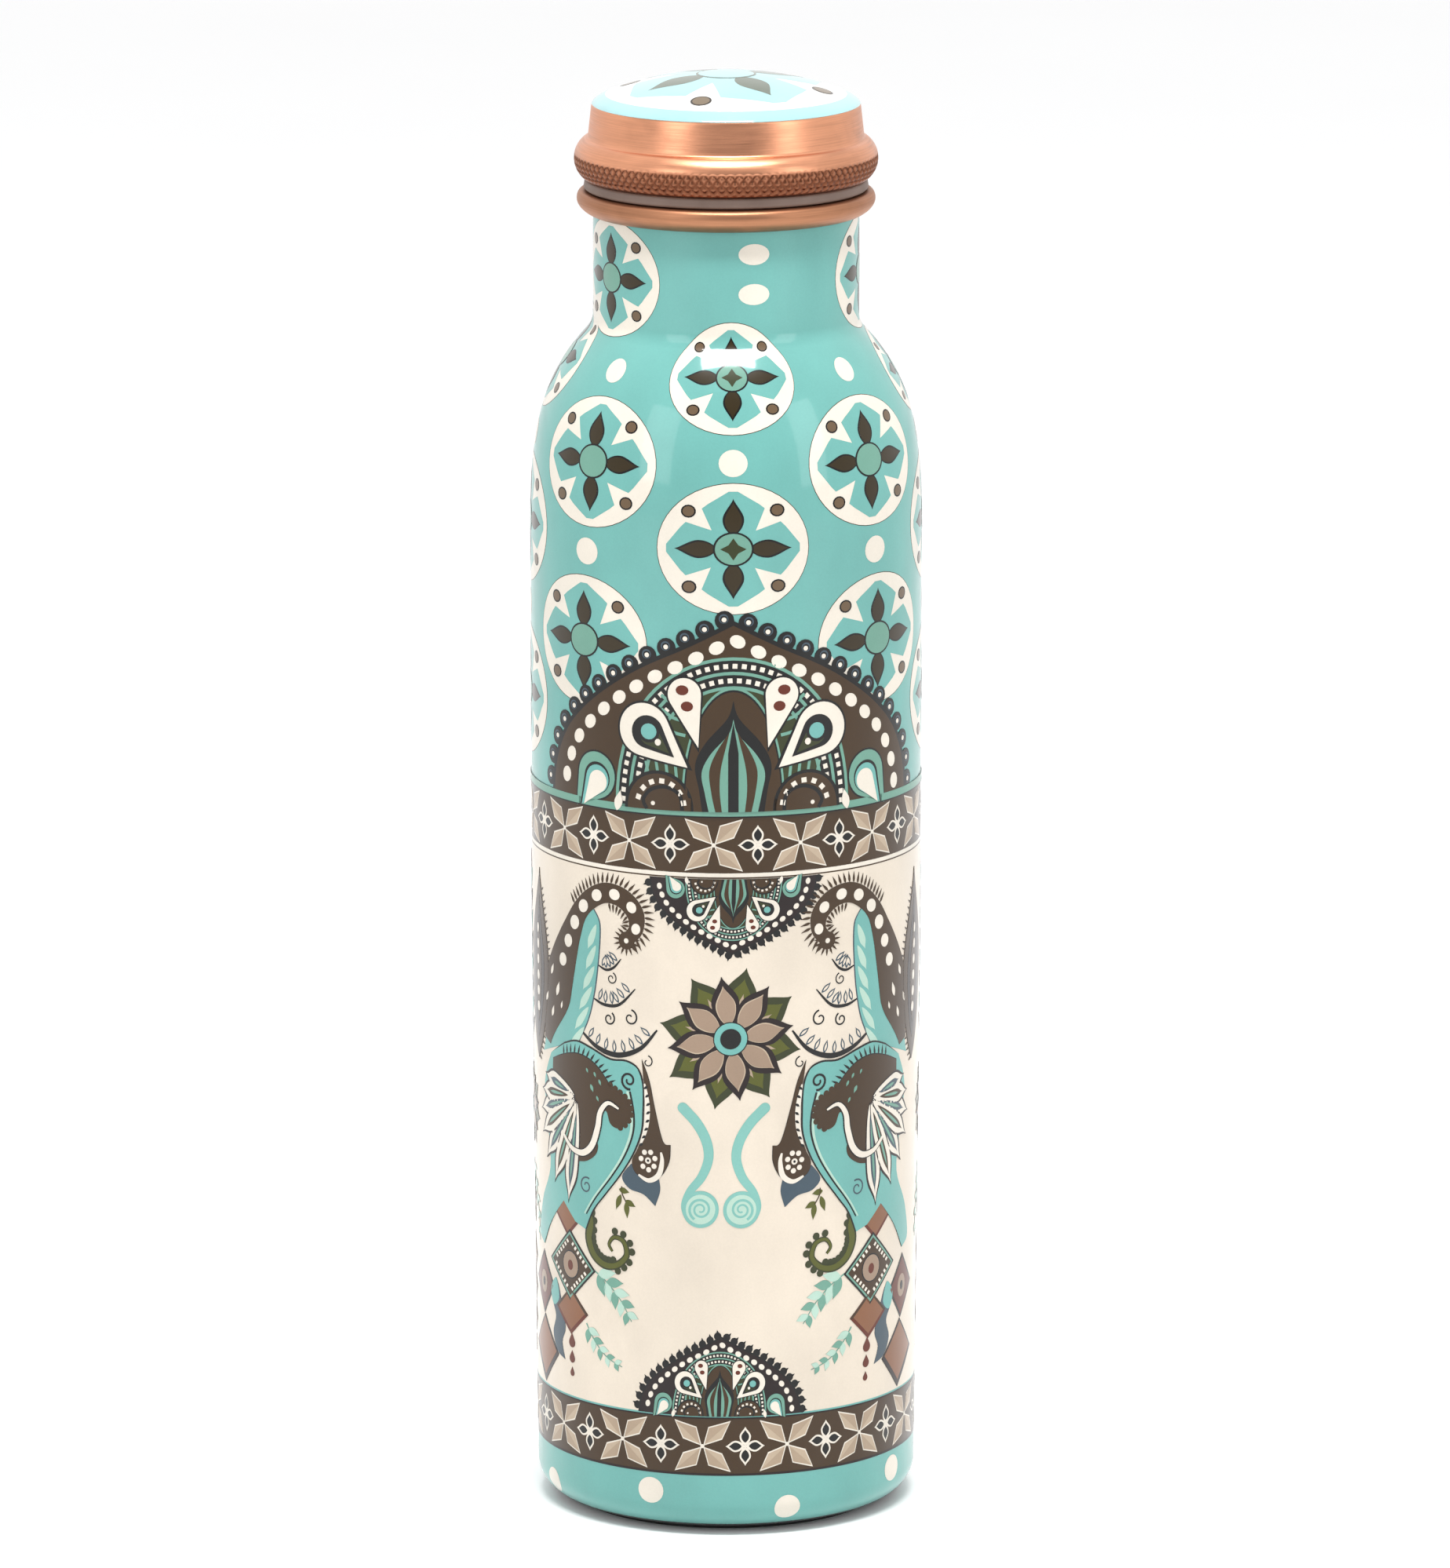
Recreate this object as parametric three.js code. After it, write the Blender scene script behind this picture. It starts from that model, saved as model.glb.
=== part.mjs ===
// A one-litre-class copper water bottle with a screw cap, as an assembly of turned pieces.
// Millimetres, +Z up. The origin is the middle of the foot, on the surface that the bottle stands on.
import * as THREE from "three";

// ---- Facets -----------------------------------------------------------------------------------
const FACETS = 36; // flats round every piece, so that nested pieces have parallel flats
const THREAD_ROWS = 5; // rows of points for each turn of a thread

// ---- Body -------------------------------------------------------------------------------------
const BODY_RADIUS = 36.4; // widest outside radius
const BODY_WALL = 0.6; // drawn copper sheet
const FOOT_TAPER = 0.9; // how much narrower the body is just above its foot
const FOOT_ROUNDING = 5.8; // outside radius of the drawn bottom corner
const TAPER_LENGTH = 104; // from the foot rounding up to the widest height
const SIDE_LENGTH = 69.3; // parallel side, from the widest height to the shoulder
const SHOULDER_HEIGHT = 45.6; // from the side to the parallel neck
const SHOULDER_SLOPE = 42; // degrees that the shoulder's upper end leans out from the axis
const NECK_FILLET = 4.4; // hollow between the shoulder and the neck
const NECK_RADIUS = 24.65; // outside radius of the neck
const NECK_LENGTH = 20.6; // from the shoulder to the neck's cut end

// ---- Foot pad ---------------------------------------------------------------------------------
const PAD_THICKNESS = 0.8;
const PAD_BEVEL = 0.2;
const PAD_INSET = 0.3; // the pad stops this short of the flat of the base

// ---- Neck ring: collar and threaded spout in one turned piece ----------------------------------
const RING_WALL = 0.8;
const SPOUT_STEP = 2.95; // the spout's root is this much smaller than the neck
const SPOUT_HEIGHT = 12.2; // from the gasket seat to the lip
const COLLAR_BULGE = 3; // how far the collar stands out past the neck
const COLLAR_HEIGHT = 4.5; // from the collar's lower edge to the gasket seat
const COLLAR_CROWN = 1.6; // the collar is widest this far under the gasket seat
const SLEEVE_DEPTH = 5.8; // how far the ring's sleeve reaches down into the neck

// ---- Thread -----------------------------------------------------------------------------------
const PITCH = 4; // single start, right-hand
const THREAD_DEPTH = 1;
const THREAD_CLEARANCE = 0.3; // between the two threads, measured along the radius
const THREAD_START = 2.2; // from the gasket seat to the first of the spout's thread
const THREAD_FADE = 1.2; // each thread rises from nothing over this height
const LINER_THREAD_START = 1.4; // from the cap's lower edge to the first of the liner's thread

// ---- Gasket and seal --------------------------------------------------------------------------
const GASKET_THICKNESS = 1.95;
const GASKET_INSET = 1.3; // the gasket's edge stays this far inside the collar's widest
const GASKET_ROUNDING = 0.45;
const SEAL_THICKNESS = 1.6;
const SEAL_RIM = 0.4; // bevel round the seal disc

// ---- Cap --------------------------------------------------------------------------------------
const LINER_WALL = 0.6;
const LINER_FLANGE = 0.6; // thickness of the liner's flange, which the shell's hem holds
const CAP_WALL = 0.6;
const CAP_GAP = 0.75; // air between the liner and the shell
const CAP_FLARE = 0.55; // the plain side widens by this much on its way down
const BEAD_BULGE = 2.65; // how far the grip bead stands out past the plain side
const BEAD_HEIGHT = 7.25;
const BEAD_SECTION = 4.5; // radius of the bead's outline
const RIM_WIDTH = 2.5; // the rounded rim, from the plain side to the dome
const RIM_HEIGHT = 2.1;
const DOME_RISE = 4; // from the rim to the top of the cap
const RIM_ROOM = 0.7; // height left between the liner's top and the plain side's upper edge
const HEM_LENGTH = 1.9; // how far the shell's hem is turned in under the liner's flange

// ---- Fits -------------------------------------------------------------------------------------
const GLUE_LINE = 0.1; // foot pad to base
const BRAZE_GAP = 0.15; // neck wall to the ring's sleeve
const COAT_ROOM = 0.25; // collar to the lacquered neck
const REST_GAP = 0.15; // between pieces that press on each other

// ---- Places worked out from the sizes -----------------------------------------------------------
const baseZ = PAD_THICKNESS + GLUE_LINE;
const footRadius = BODY_RADIUS - FOOT_TAPER;
const baseFlat = footRadius - FOOT_ROUNDING;
const widestZ = baseZ + FOOT_ROUNDING + TAPER_LENGTH;
const shoulderZ = widestZ + SIDE_LENGTH;
const neckZ = shoulderZ + SHOULDER_HEIGHT;
const neckEndZ = neckZ + NECK_LENGTH;
const neckInside = NECK_RADIUS - BODY_WALL;

const grooveTopZ = neckEndZ + REST_GAP; // the slot in the collar that the neck's end fits
const seatZ = grooveTopZ + 2.2 + REST_GAP;
const collarRadius = NECK_RADIUS + COLLAR_BULGE;
const spoutRoot = NECK_RADIUS - SPOUT_STEP;
const spoutBore = spoutRoot - RING_WALL;
const lipZ = seatZ + SPOUT_HEIGHT;

const gasketZ = seatZ + REST_GAP;
const capZ = gasketZ + GASKET_THICKNESS + REST_GAP; // the cap's lower edge
const sealZ = lipZ + REST_GAP;
const linerTopZ = sealZ + SEAL_THICKNESS + REST_GAP; // underside of the liner's top
const linerMajor = spoutRoot + THREAD_DEPTH + THREAD_CLEARANCE;
const linerOutside = linerMajor + LINER_WALL;
const flangeZ = capZ + CAP_WALL + REST_GAP;

const sideTopZ = linerTopZ + LINER_WALL + RIM_ROOM;
const sideTopRadius = linerOutside + CAP_GAP + CAP_WALL;
const sideFootRadius = sideTopRadius + CAP_FLARE;
const beadRadius = sideFootRadius + BEAD_BULGE;
const beadTopZ = capZ + BEAD_HEIGHT;
const domeEdgeRadius = sideTopRadius - RIM_WIDTH;
const domeEdgeZ = sideTopZ + RIM_HEIGHT;
const capTopZ = domeEdgeZ + DOME_RISE;

// ---- Outlines ---------------------------------------------------------------------------------
const point = (r, z) => new THREE.Vector2(r, z);
const line = (r0, z0, r1, z1) => [new THREE.LineCurve(point(r0, z0), point(r1, z1)), 1];

// An arc about (r, z) from one angle to another, in degrees, anticlockwise unless it runs down.
function arc(r, z, radius, from, to, steps) {
  const [a, b] = [from, to].map(THREE.MathUtils.degToRad);
  return [new THREE.EllipseCurve(r, z, radius, radius, a, b, b < a), steps];
}

function bend(start, startHandle, endHandle, end, steps) {
  return [new THREE.CubicBezierCurve(start, startHandle, endHandle, end), steps];
}

// The points of [curve, steps] stretches that follow each other, each shared point once.
function along(...stretches) {
  const points = stretches.flatMap(([curve, steps]) => curve.getPoints(steps));
  return points.filter((p, i) => i === 0 || p.distanceTo(points[i - 1]) > 1e-6);
}

// The same line moved to its left by a distance, with mitred corners.
function movedLeft(points, distance) {
  const leftOf = (a, b) => {
    const way = b.clone().sub(a).normalize();
    return point(-way.y, way.x);
  };
  return points.map((p, i) => {
    const before = i > 0 ? leftOf(points[i - 1], p) : null;
    const after = i < points.length - 1 ? leftOf(p, points[i + 1]) : null;
    const sides = [before ?? after, after ?? before];
    const middle = sides[0].clone().add(sides[1]).normalize();
    const moved = p.clone().addScaledVector(middle, distance / middle.dot(sides[0]));
    return p.x < 1e-6 ? point(0, moved.y) : moved;
  });
}

// The closed outline of a sheet of one thickness whose outside is the line given.
const sheet = (points, wall) => [...points, ...movedLeft(points, wall).reverse()];

// ---- Solids -----------------------------------------------------------------------------------
// Turns a closed outline, given anticlockwise, about the Z axis.
function turned(outline) {
  const onAxis = outline[0].x < 1e-6;
  const closed = onAxis ? outline : [...outline, outline[0]];
  return new THREE.LatheGeometry(closed, FACETS).rotateX(Math.PI / 2);
}

// Raises (side 1) or sinks (side -1) a thread in every point of a wall of one radius, between two heights.
// Every thread has the same phase, so that a cap that climbs one pitch a turn stays in mesh.
function cutThread(geometry, wallRadius, from, to, side) {
  const place = geometry.getAttribute("position");
  const at = new THREE.Vector3();
  for (let i = 0; i < place.count; i++) {
    at.fromBufferAttribute(place, i);
    const radius = Math.hypot(at.x, at.y);
    if (Math.abs(radius - wallRadius) > 1e-3 || at.z < from || at.z > to) continue;
    const turns = at.z / PITCH - Math.atan2(at.y, at.x) / (2 * Math.PI);
    const ridge = (1 - Math.cos(2 * Math.PI * turns)) / 2;
    const { smoothstep } = THREE.MathUtils;
    const fade = smoothstep(at.z, from, from + THREAD_FADE) * (1 - smoothstep(at.z, to - THREAD_FADE, to));
    const change = THREAD_DEPTH * fade * (side > 0 ? ridge : ridge - 1);
    place.setXY(i, (at.x * (radius + change)) / radius, (at.y * (radius + change)) / radius);
  }
  return geometry;
}

// A straight wall with enough points for its thread.
function threadedWall(radius, fromZ, toZ) {
  const rows = Math.ceil((Math.abs(toZ - fromZ) / PITCH) * THREAD_ROWS);
  return [new THREE.LineCurve(point(radius, fromZ), point(radius, toZ)), rows];
}

function bodyShell() {
  const lean = THREE.MathUtils.degToRad(SHOULDER_SLOPE);
  const filletStart = point(
    NECK_RADIUS + NECK_FILLET * (1 - Math.cos(lean)),
    neckZ - NECK_FILLET * Math.sin(lean),
  );
  const cornerDrop = (BODY_RADIUS - filletStart.x) / Math.tan(lean);
  const outside = along(
    line(0, baseZ, baseFlat, baseZ),
    arc(baseFlat, baseZ + FOOT_ROUNDING, FOOT_ROUNDING, -90, 0, 4),
    line(footRadius, baseZ + FOOT_ROUNDING, BODY_RADIUS, widestZ),
    line(BODY_RADIUS, widestZ, BODY_RADIUS, shoulderZ),
    bend(
      point(BODY_RADIUS, shoulderZ),
      point(BODY_RADIUS, shoulderZ + 0.44 * SHOULDER_HEIGHT),
      point(BODY_RADIUS, filletStart.y - cornerDrop),
      filletStart,
      8,
    ),
    arc(NECK_RADIUS + NECK_FILLET, neckZ, NECK_FILLET, 180 + SHOULDER_SLOPE, 180, 3),
    line(NECK_RADIUS, neckZ, NECK_RADIUS, neckEndZ),
  );
  return turned(sheet(outside, BODY_WALL));
}

function basePad() {
  const edge = baseFlat - PAD_INSET;
  return turned([
    point(0, 0),
    point(edge - PAD_BEVEL, 0),
    point(edge, PAD_BEVEL),
    point(edge, PAD_THICKNESS),
    point(0, PAD_THICKNESS),
  ]);
}

function neckRing() {
  const sleeveOutside = neckInside - BRAZE_GAP;
  const sleeveInside = sleeveOutside - RING_WALL;
  const skirtInside = NECK_RADIUS + COAT_ROOM;
  const sleeveZ = grooveTopZ - SLEEVE_DEPTH;
  const skirtZ = seatZ - COLLAR_HEIGHT;
  const crownZ = seatZ - COLLAR_CROWN;
  const throatZ = grooveTopZ - (sleeveInside - spoutBore) / 2;
  const outline = along(
    line(sleeveInside, sleeveZ, sleeveOutside, sleeveZ),
    line(sleeveOutside, sleeveZ, sleeveOutside, grooveTopZ),
    line(sleeveOutside, grooveTopZ, skirtInside, grooveTopZ),
    line(skirtInside, grooveTopZ, skirtInside, skirtZ),
    bend(
      point(skirtInside, skirtZ),
      point(skirtInside + 0.6 * COLLAR_BULGE, skirtZ),
      point(collarRadius, crownZ - 1.4),
      point(collarRadius, crownZ),
      4,
    ),
    bend(
      point(collarRadius, crownZ),
      point(collarRadius, crownZ + 0.55 * COLLAR_CROWN),
      point(collarRadius - 0.5, seatZ),
      point(collarRadius - 1.2, seatZ),
      3,
    ),
    line(collarRadius - 1.2, seatZ, spoutRoot, seatZ),
    threadedWall(spoutRoot, seatZ, lipZ - RING_WALL / 2),
    arc(spoutRoot - RING_WALL / 2, lipZ - RING_WALL / 2, RING_WALL / 2, 0, 180, 4),
    line(spoutBore, lipZ - RING_WALL / 2, spoutBore, throatZ + (sleeveInside - spoutBore)),
    line(spoutBore, throatZ + (sleeveInside - spoutBore), sleeveInside, throatZ),
  );
  const threadTop = lipZ - RING_WALL / 2;
  return cutThread(turned(outline), spoutRoot, seatZ + THREAD_START, threadTop, 1);
}

function neckGasket() {
  const outer = collarRadius - GASKET_INSET;
  const inner = spoutRoot + THREAD_CLEARANCE;
  const top = gasketZ + GASKET_THICKNESS;
  const turn = GASKET_ROUNDING;
  return turned(
    along(
      line(inner, gasketZ, outer - turn, gasketZ),
      arc(outer - turn, gasketZ + turn, turn, -90, 0, 2),
      arc(outer - turn, top - turn, turn, 0, 90, 2),
      line(outer - turn, top, inner, top),
    ),
  );
}

function capShell() {
  const beadCentre = point(beadRadius - BEAD_SECTION, capZ + BEAD_HEIGHT / 2);
  const swing = THREE.MathUtils.radToDeg(Math.asin((0.98 * BEAD_HEIGHT) / 2 / BEAD_SECTION));
  const beadEnd = (angle) => {
    const turn = THREE.MathUtils.degToRad(angle);
    return beadCentre.clone().add(point(Math.cos(turn), Math.sin(turn)).multiplyScalar(BEAD_SECTION));
  };
  const [beadFoot, beadHead] = [beadEnd(-swing), beadEnd(swing)];
  const domeRadius = (domeEdgeRadius ** 2 + DOME_RISE ** 2) / (2 * DOME_RISE);
  const domeSwing = THREE.MathUtils.radToDeg(Math.asin(domeEdgeRadius / domeRadius));
  const outside = along(
    line(beadFoot.x - HEM_LENGTH, capZ, beadFoot.x - 0.3, capZ),
    line(beadFoot.x - 0.3, capZ, beadFoot.x, beadFoot.y),
    arc(beadCentre.x, beadCentre.y, BEAD_SECTION, -swing, swing, 5),
    bend(
      beadHead,
      point(sideFootRadius + 0.25, beadTopZ + 0.2),
      point(sideFootRadius + 0.05, beadTopZ + 0.3),
      point(sideFootRadius, beadTopZ + 1),
      2,
    ),
    line(sideFootRadius, beadTopZ + 1, sideTopRadius, sideTopZ),
    bend(
      point(sideTopRadius, sideTopZ),
      point(sideTopRadius - 0.1, sideTopZ + 0.45 * RIM_HEIGHT),
      point(domeEdgeRadius + 0.5 * RIM_WIDTH, domeEdgeZ - 0.25 * RIM_HEIGHT),
      point(domeEdgeRadius, domeEdgeZ),
      3,
    ),
    arc(0, capTopZ - domeRadius, domeRadius, 90 - domeSwing, 90, 3),
  );
  return turned(sheet(outside, CAP_WALL));
}

function capLiner() {
  const inside = linerMajor;
  const flangeEdge = beadRadius - BEAD_BULGE;
  const flangeTop = flangeZ + LINER_FLANGE;
  const top = linerTopZ + LINER_WALL;
  const outline = along(
    line(inside, flangeZ, flangeEdge, flangeZ),
    line(flangeEdge, flangeZ, flangeEdge, flangeTop),
    line(flangeEdge, flangeTop, linerOutside, flangeTop),
    line(linerOutside, flangeTop, linerOutside, top - LINER_WALL),
    line(linerOutside, top - LINER_WALL, linerOutside - LINER_WALL, top),
    line(linerOutside - LINER_WALL, top, 0, top),
    line(0, top, 0, linerTopZ),
    line(0, linerTopZ, inside, linerTopZ),
    threadedWall(inside, linerTopZ, flangeZ),
  );
  // The outline is turned from its point on the axis.
  const axisAt = outline.findIndex((p) => p.x < 1e-6 && p.y < top);
  const fromAxis = [...outline.slice(axisAt), ...outline.slice(1, axisAt)];
  return cutThread(turned(fromAxis), inside, capZ + LINER_THREAD_START, sealZ, -1);
}

function capSeal() {
  const edge = linerMajor - THREAD_CLEARANCE;
  const top = sealZ + SEAL_THICKNESS;
  return turned([
    point(0, sealZ),
    point(edge - SEAL_RIM, sealZ),
    point(edge, sealZ + SEAL_RIM),
    point(edge, top),
    point(0, top),
  ]);
}

// ---- Materials --------------------------------------------------------------------------------
const finish = (color, roughness, metalness) =>
  new THREE.MeshStandardMaterial({ color, roughness, metalness });
const lacquer = finish(0x7fc9bd, 0.3, 0);
const copper = finish(0xc4805c, 0.35, 1);
const rawCopper = finish(0xb8704f, 0.5, 1);
const silicone = finish(0x8b7a74, 0.6, 0);
const clearSilicone = finish(0xd9d4cc, 0.55, 0);
const blackRubber = finish(0x0c0c0c, 0.8, 0);

function piece(name, geometry, material) {
  const mesh = new THREE.Mesh(geometry, material);
  mesh.name = name;
  return mesh;
}

// ---- Assembly ---------------------------------------------------------------------------------
const bottle = new THREE.Group();
bottle.add(
  piece("body_shell", bodyShell(), lacquer),
  piece("base_pad", basePad(), blackRubber),
  piece("neck_ring", neckRing(), copper),
  piece("neck_gasket", neckGasket(), silicone),
);

const cap = new THREE.Group();
cap.add(
  piece("cap_shell", capShell(), copper),
  piece("cap_liner", capLiner(), rawCopper),
  piece("cap_seal", capSeal(), clearSilicone),
);

const assembly = new THREE.Group();
assembly.add(bottle, cap);

export default assembly;
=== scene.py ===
"""A printed copper water bottle with a knurled screw cap, in metres; outlines are drawn in millimetres.

The bottle's pieces are turned, and its print is laid on as thin enamel, one piece for each colour.
"""
import math

import bmesh
import bpy
from mathutils import Matrix, Vector
from mathutils.geometry import interpolate_bezier


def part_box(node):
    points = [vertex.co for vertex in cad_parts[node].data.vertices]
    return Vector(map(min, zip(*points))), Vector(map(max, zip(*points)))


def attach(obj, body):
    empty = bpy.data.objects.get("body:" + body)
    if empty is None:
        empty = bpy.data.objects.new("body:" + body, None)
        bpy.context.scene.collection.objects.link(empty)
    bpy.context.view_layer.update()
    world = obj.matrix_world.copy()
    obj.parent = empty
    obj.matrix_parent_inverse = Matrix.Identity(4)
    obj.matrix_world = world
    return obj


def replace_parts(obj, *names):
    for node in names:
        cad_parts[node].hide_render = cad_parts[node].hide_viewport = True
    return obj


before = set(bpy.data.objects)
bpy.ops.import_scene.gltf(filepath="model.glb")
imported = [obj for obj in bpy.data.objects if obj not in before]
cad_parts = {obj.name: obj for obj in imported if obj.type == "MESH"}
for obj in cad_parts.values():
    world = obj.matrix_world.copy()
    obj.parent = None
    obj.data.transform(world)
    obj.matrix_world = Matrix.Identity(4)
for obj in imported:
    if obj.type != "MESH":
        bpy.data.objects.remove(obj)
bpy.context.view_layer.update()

MM = 0.001
FULL_TURN = 2 * math.pi


# ---- Sizes, in millimetres ----------------------------------------------------------------------
def box_mm(node):
    low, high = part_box(node)
    return [v / MM for v in low], [v / MM for v in high]


pad_high = box_mm("base_pad")[1]
body_low, body_high = box_mm("body_shell")
ring_low, ring_high = box_mm("neck_ring")
gasket_low, gasket_high = box_mm("neck_gasket")
shell_low, shell_high = box_mm("cap_shell")
liner_low, liner_high = box_mm("cap_liner")
seal_low, seal_high = box_mm("cap_seal")

BODY_RADIUS = body_high[0]
BODY_WALL = 0.6
FOOT_TAPER = 0.9
FOOT_ROUNDING = 5.8
NECK_RADIUS = 24.65
NECK_FILLET = 4.4
SHOULDER_LEAN = 42
NECK_LENGTH = 20.6
SHOULDER_HEIGHT = 45.6
SIDE_LENGTH = 69.3

BASE_Z = body_low[2]
NECK_END_Z = body_high[2]
NECK_Z = NECK_END_Z - NECK_LENGTH
SHOULDER_Z = NECK_Z - SHOULDER_HEIGHT
WIDEST_Z = SHOULDER_Z - SIDE_LENGTH
FOOT_RADIUS = BODY_RADIUS - FOOT_TAPER
BASE_FLAT = FOOT_RADIUS - FOOT_ROUNDING

RING_WALL = 0.8
COLLAR_RADIUS = ring_high[0]
COLLAR_HEIGHT = 4.5
COLLAR_CROWN = 1.6
LIP_Z = ring_high[2]
SLEEVE_Z = ring_low[2]
SEAT_Z = gasket_low[2] - 0.15
SLEEVE_RADIUS = NECK_RADIUS - BODY_WALL - 0.15
SPOUT_RADIUS = NECK_RADIUS - 2.95
THREAD_PITCH = 4
THREAD_DEPTH = 1
THREAD_FADE = 1.2
SPOUT_THREAD_Z = SEAT_Z + 2.2

CAP_Z = shell_low[2]
CAP_TOP_Z = shell_high[2]
CAP_WALL = 0.6
LINER_RADIUS = SPOUT_RADIUS + THREAD_DEPTH + 0.3
LINER_WALL = 0.6
SIDE_TOP_RADIUS = LINER_RADIUS + LINER_WALL + 0.75 + CAP_WALL
SIDE_FOOT_RADIUS = SIDE_TOP_RADIUS + 0.55
BEAD_RADIUS = SIDE_FOOT_RADIUS + 2.65
BEAD_HEIGHT = 7.25
BEAD_SECTION = 4.5
RIM_WIDTH = 2.5
RIM_HEIGHT = 2.1
DOME_RISE = 4
DOME_EDGE_RADIUS = SIDE_TOP_RADIUS - RIM_WIDTH
DOME_EDGE_Z = CAP_TOP_Z - DOME_RISE
SIDE_TOP_Z = DOME_EDGE_Z - RIM_HEIGHT

ROUND_STEPS = 180
KNURLS = 108
KNURL_STEPS = 6 * KNURLS
KNURL_ROW = 1.08
KNURL_DEPTH = 0.45
KNURL_TILTS = (-47, 15)  # the degrees up the grip bead's section between which it is knurled
KNURL_FADE = 7
CAP_ENAMEL = 0.08


# ---- Outlines -----------------------------------------------------------------------------------
def arc(x, y, radius, start, end, steps):
    """Points on an arc about (x, y), from one angle in degrees to another."""
    angles = [math.radians(start + (end - start) * i / steps) for i in range(steps + 1)]
    return [(x + radius * math.cos(a), y + radius * math.sin(a)) for a in angles]


def bend(start, start_handle, end_handle, end, steps):
    knots = [Vector((*p, 0)) for p in (start, start_handle, end_handle, end)]
    return [(p.x, p.y) for p in interpolate_bezier(*knots, steps + 1)]


def line(start, end, steps=1):
    return [tuple(a + (b - a) * i / steps for a, b in zip(start, end)) for i in range(steps + 1)]


def joined(*stretches):
    points = []
    for stretch in stretches:
        points += [p for p in stretch if not points or math.dist(p, points[-1]) > 1e-3]
    return points


def moved_left(points, distance):
    """The same line moved to its left, with mitred corners."""
    moved = []
    for i, (x, y) in enumerate(points):
        sides = []
        for a, b in ((i - 1, i), (i, i + 1)):
            if a >= 0 and b < len(points):
                way = Vector(points[b]) - Vector(points[a])
                sides.append(Vector((-way.y, way.x)).normalized())
        middle = sum(sides, Vector((0, 0))).normalized()
        step = middle * (distance / middle.dot(sides[0]))
        moved.append((0 if x < 1e-6 else x + step.x, y + step.y))
    return moved


def body_outline():
    """The outside of the bottle's body, from the middle of its base to the neck's end."""
    lean = math.radians(SHOULDER_LEAN)
    fillet_r = NECK_RADIUS + NECK_FILLET * (1 - math.cos(lean))
    fillet_z = NECK_Z - NECK_FILLET * math.sin(lean)
    corner_z = fillet_z - (BODY_RADIUS - fillet_r) / math.tan(lean)
    return joined(
        line((0, BASE_Z), (BASE_FLAT, BASE_Z), 3),
        arc(BASE_FLAT, BASE_Z + FOOT_ROUNDING, FOOT_ROUNDING, -90, 0, 16),
        line((FOOT_RADIUS, BASE_Z + FOOT_ROUNDING), (BODY_RADIUS, WIDEST_Z), 8),
        line((BODY_RADIUS, WIDEST_Z), (BODY_RADIUS, SHOULDER_Z), 6),
        bend((BODY_RADIUS, SHOULDER_Z), (BODY_RADIUS, SHOULDER_Z + 0.44 * SHOULDER_HEIGHT),
             (BODY_RADIUS, corner_z), (fillet_r, fillet_z), 32),
        arc(NECK_RADIUS + NECK_FILLET, NECK_Z, NECK_FILLET, 180 + SHOULDER_LEAN, 180, 10),
        line((NECK_RADIUS, NECK_Z), (NECK_RADIUS, NECK_END_Z), 6),
    )


def cap_top_outline():
    """The cap's rounded rim and dome, from the top of its plain side to its middle."""
    dome_radius = (DOME_EDGE_RADIUS**2 + DOME_RISE**2) / (2 * DOME_RISE)
    swing = math.degrees(math.asin(DOME_EDGE_RADIUS / dome_radius))
    return joined(
        bend((SIDE_TOP_RADIUS, SIDE_TOP_Z), (SIDE_TOP_RADIUS - 0.1, SIDE_TOP_Z + 0.45 * RIM_HEIGHT),
             (DOME_EDGE_RADIUS + 0.5 * RIM_WIDTH, DOME_EDGE_Z - 0.25 * RIM_HEIGHT),
             (DOME_EDGE_RADIUS, DOME_EDGE_Z), 10),
        arc(0, CAP_TOP_Z - dome_radius, dome_radius, 90 - swing, 90, 16)[:-1],
        [(0, CAP_TOP_Z)],
    )


def cap_enamel_outline():
    """The enamel's surface over the cap's rim and dome, a little proud of the copper."""
    rim = [p for p in cap_top_outline() if p[1] > SIDE_TOP_Z + 0.35]
    return [(r * (1 + CAP_ENAMEL / SIDE_TOP_RADIUS), z + CAP_ENAMEL) for r, z in rim]


# ---- Turned pieces ------------------------------------------------------------------------------
def turned(outline, steps=ROUND_STEPS):
    """A closed outline, or one with both ends on the axis, spun about Z into a bmesh."""
    bm = bmesh.new()
    verts = [bm.verts.new((r * MM, 0, z * MM)) for r, z in outline]
    open_ended = outline[0][0] < 1e-6 and outline[-1][0] < 1e-6
    ends = verts[1:] if open_ended else verts[1:] + verts[:1]
    edges = [bm.edges.new(pair) for pair in zip(verts, ends)]
    bmesh.ops.spin(bm, geom=verts + edges, cent=(0, 0, 0), axis=(0, 0, 1), angle=FULL_TURN,
                   steps=steps, use_merge=True)
    bmesh.ops.remove_doubles(bm, verts=bm.verts[:], dist=1e-7)
    bmesh.ops.recalc_face_normals(bm, faces=bm.faces[:])
    return bm


def smooth_mesh(bm, name, *finishes):
    mesh = bpy.data.meshes.new(name)
    bm.to_mesh(mesh)
    bm.free()
    for polygon in mesh.polygons:
        polygon.use_smooth = True
    for finish in finishes:
        mesh.materials.append(finish)
    return mesh


def as_piece(mesh, name, body):
    """A mesh as a piece that rides on a body and wears the finishes its mesh holds."""
    piece = bpy.data.objects.new(name, mesh)
    bpy.context.scene.collection.objects.link(piece)
    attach(piece, body)
    return piece


def finished(bm, name, body, slot, *finishes, sharp=35):
    """Makes the bmesh a smooth piece with sharp corners."""
    for edge in bm.edges:
        edge.smooth = edge.calc_face_angle(0) < math.radians(sharp)
    return as_piece(smooth_mesh(bm, name, *finishes), name, body)


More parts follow.
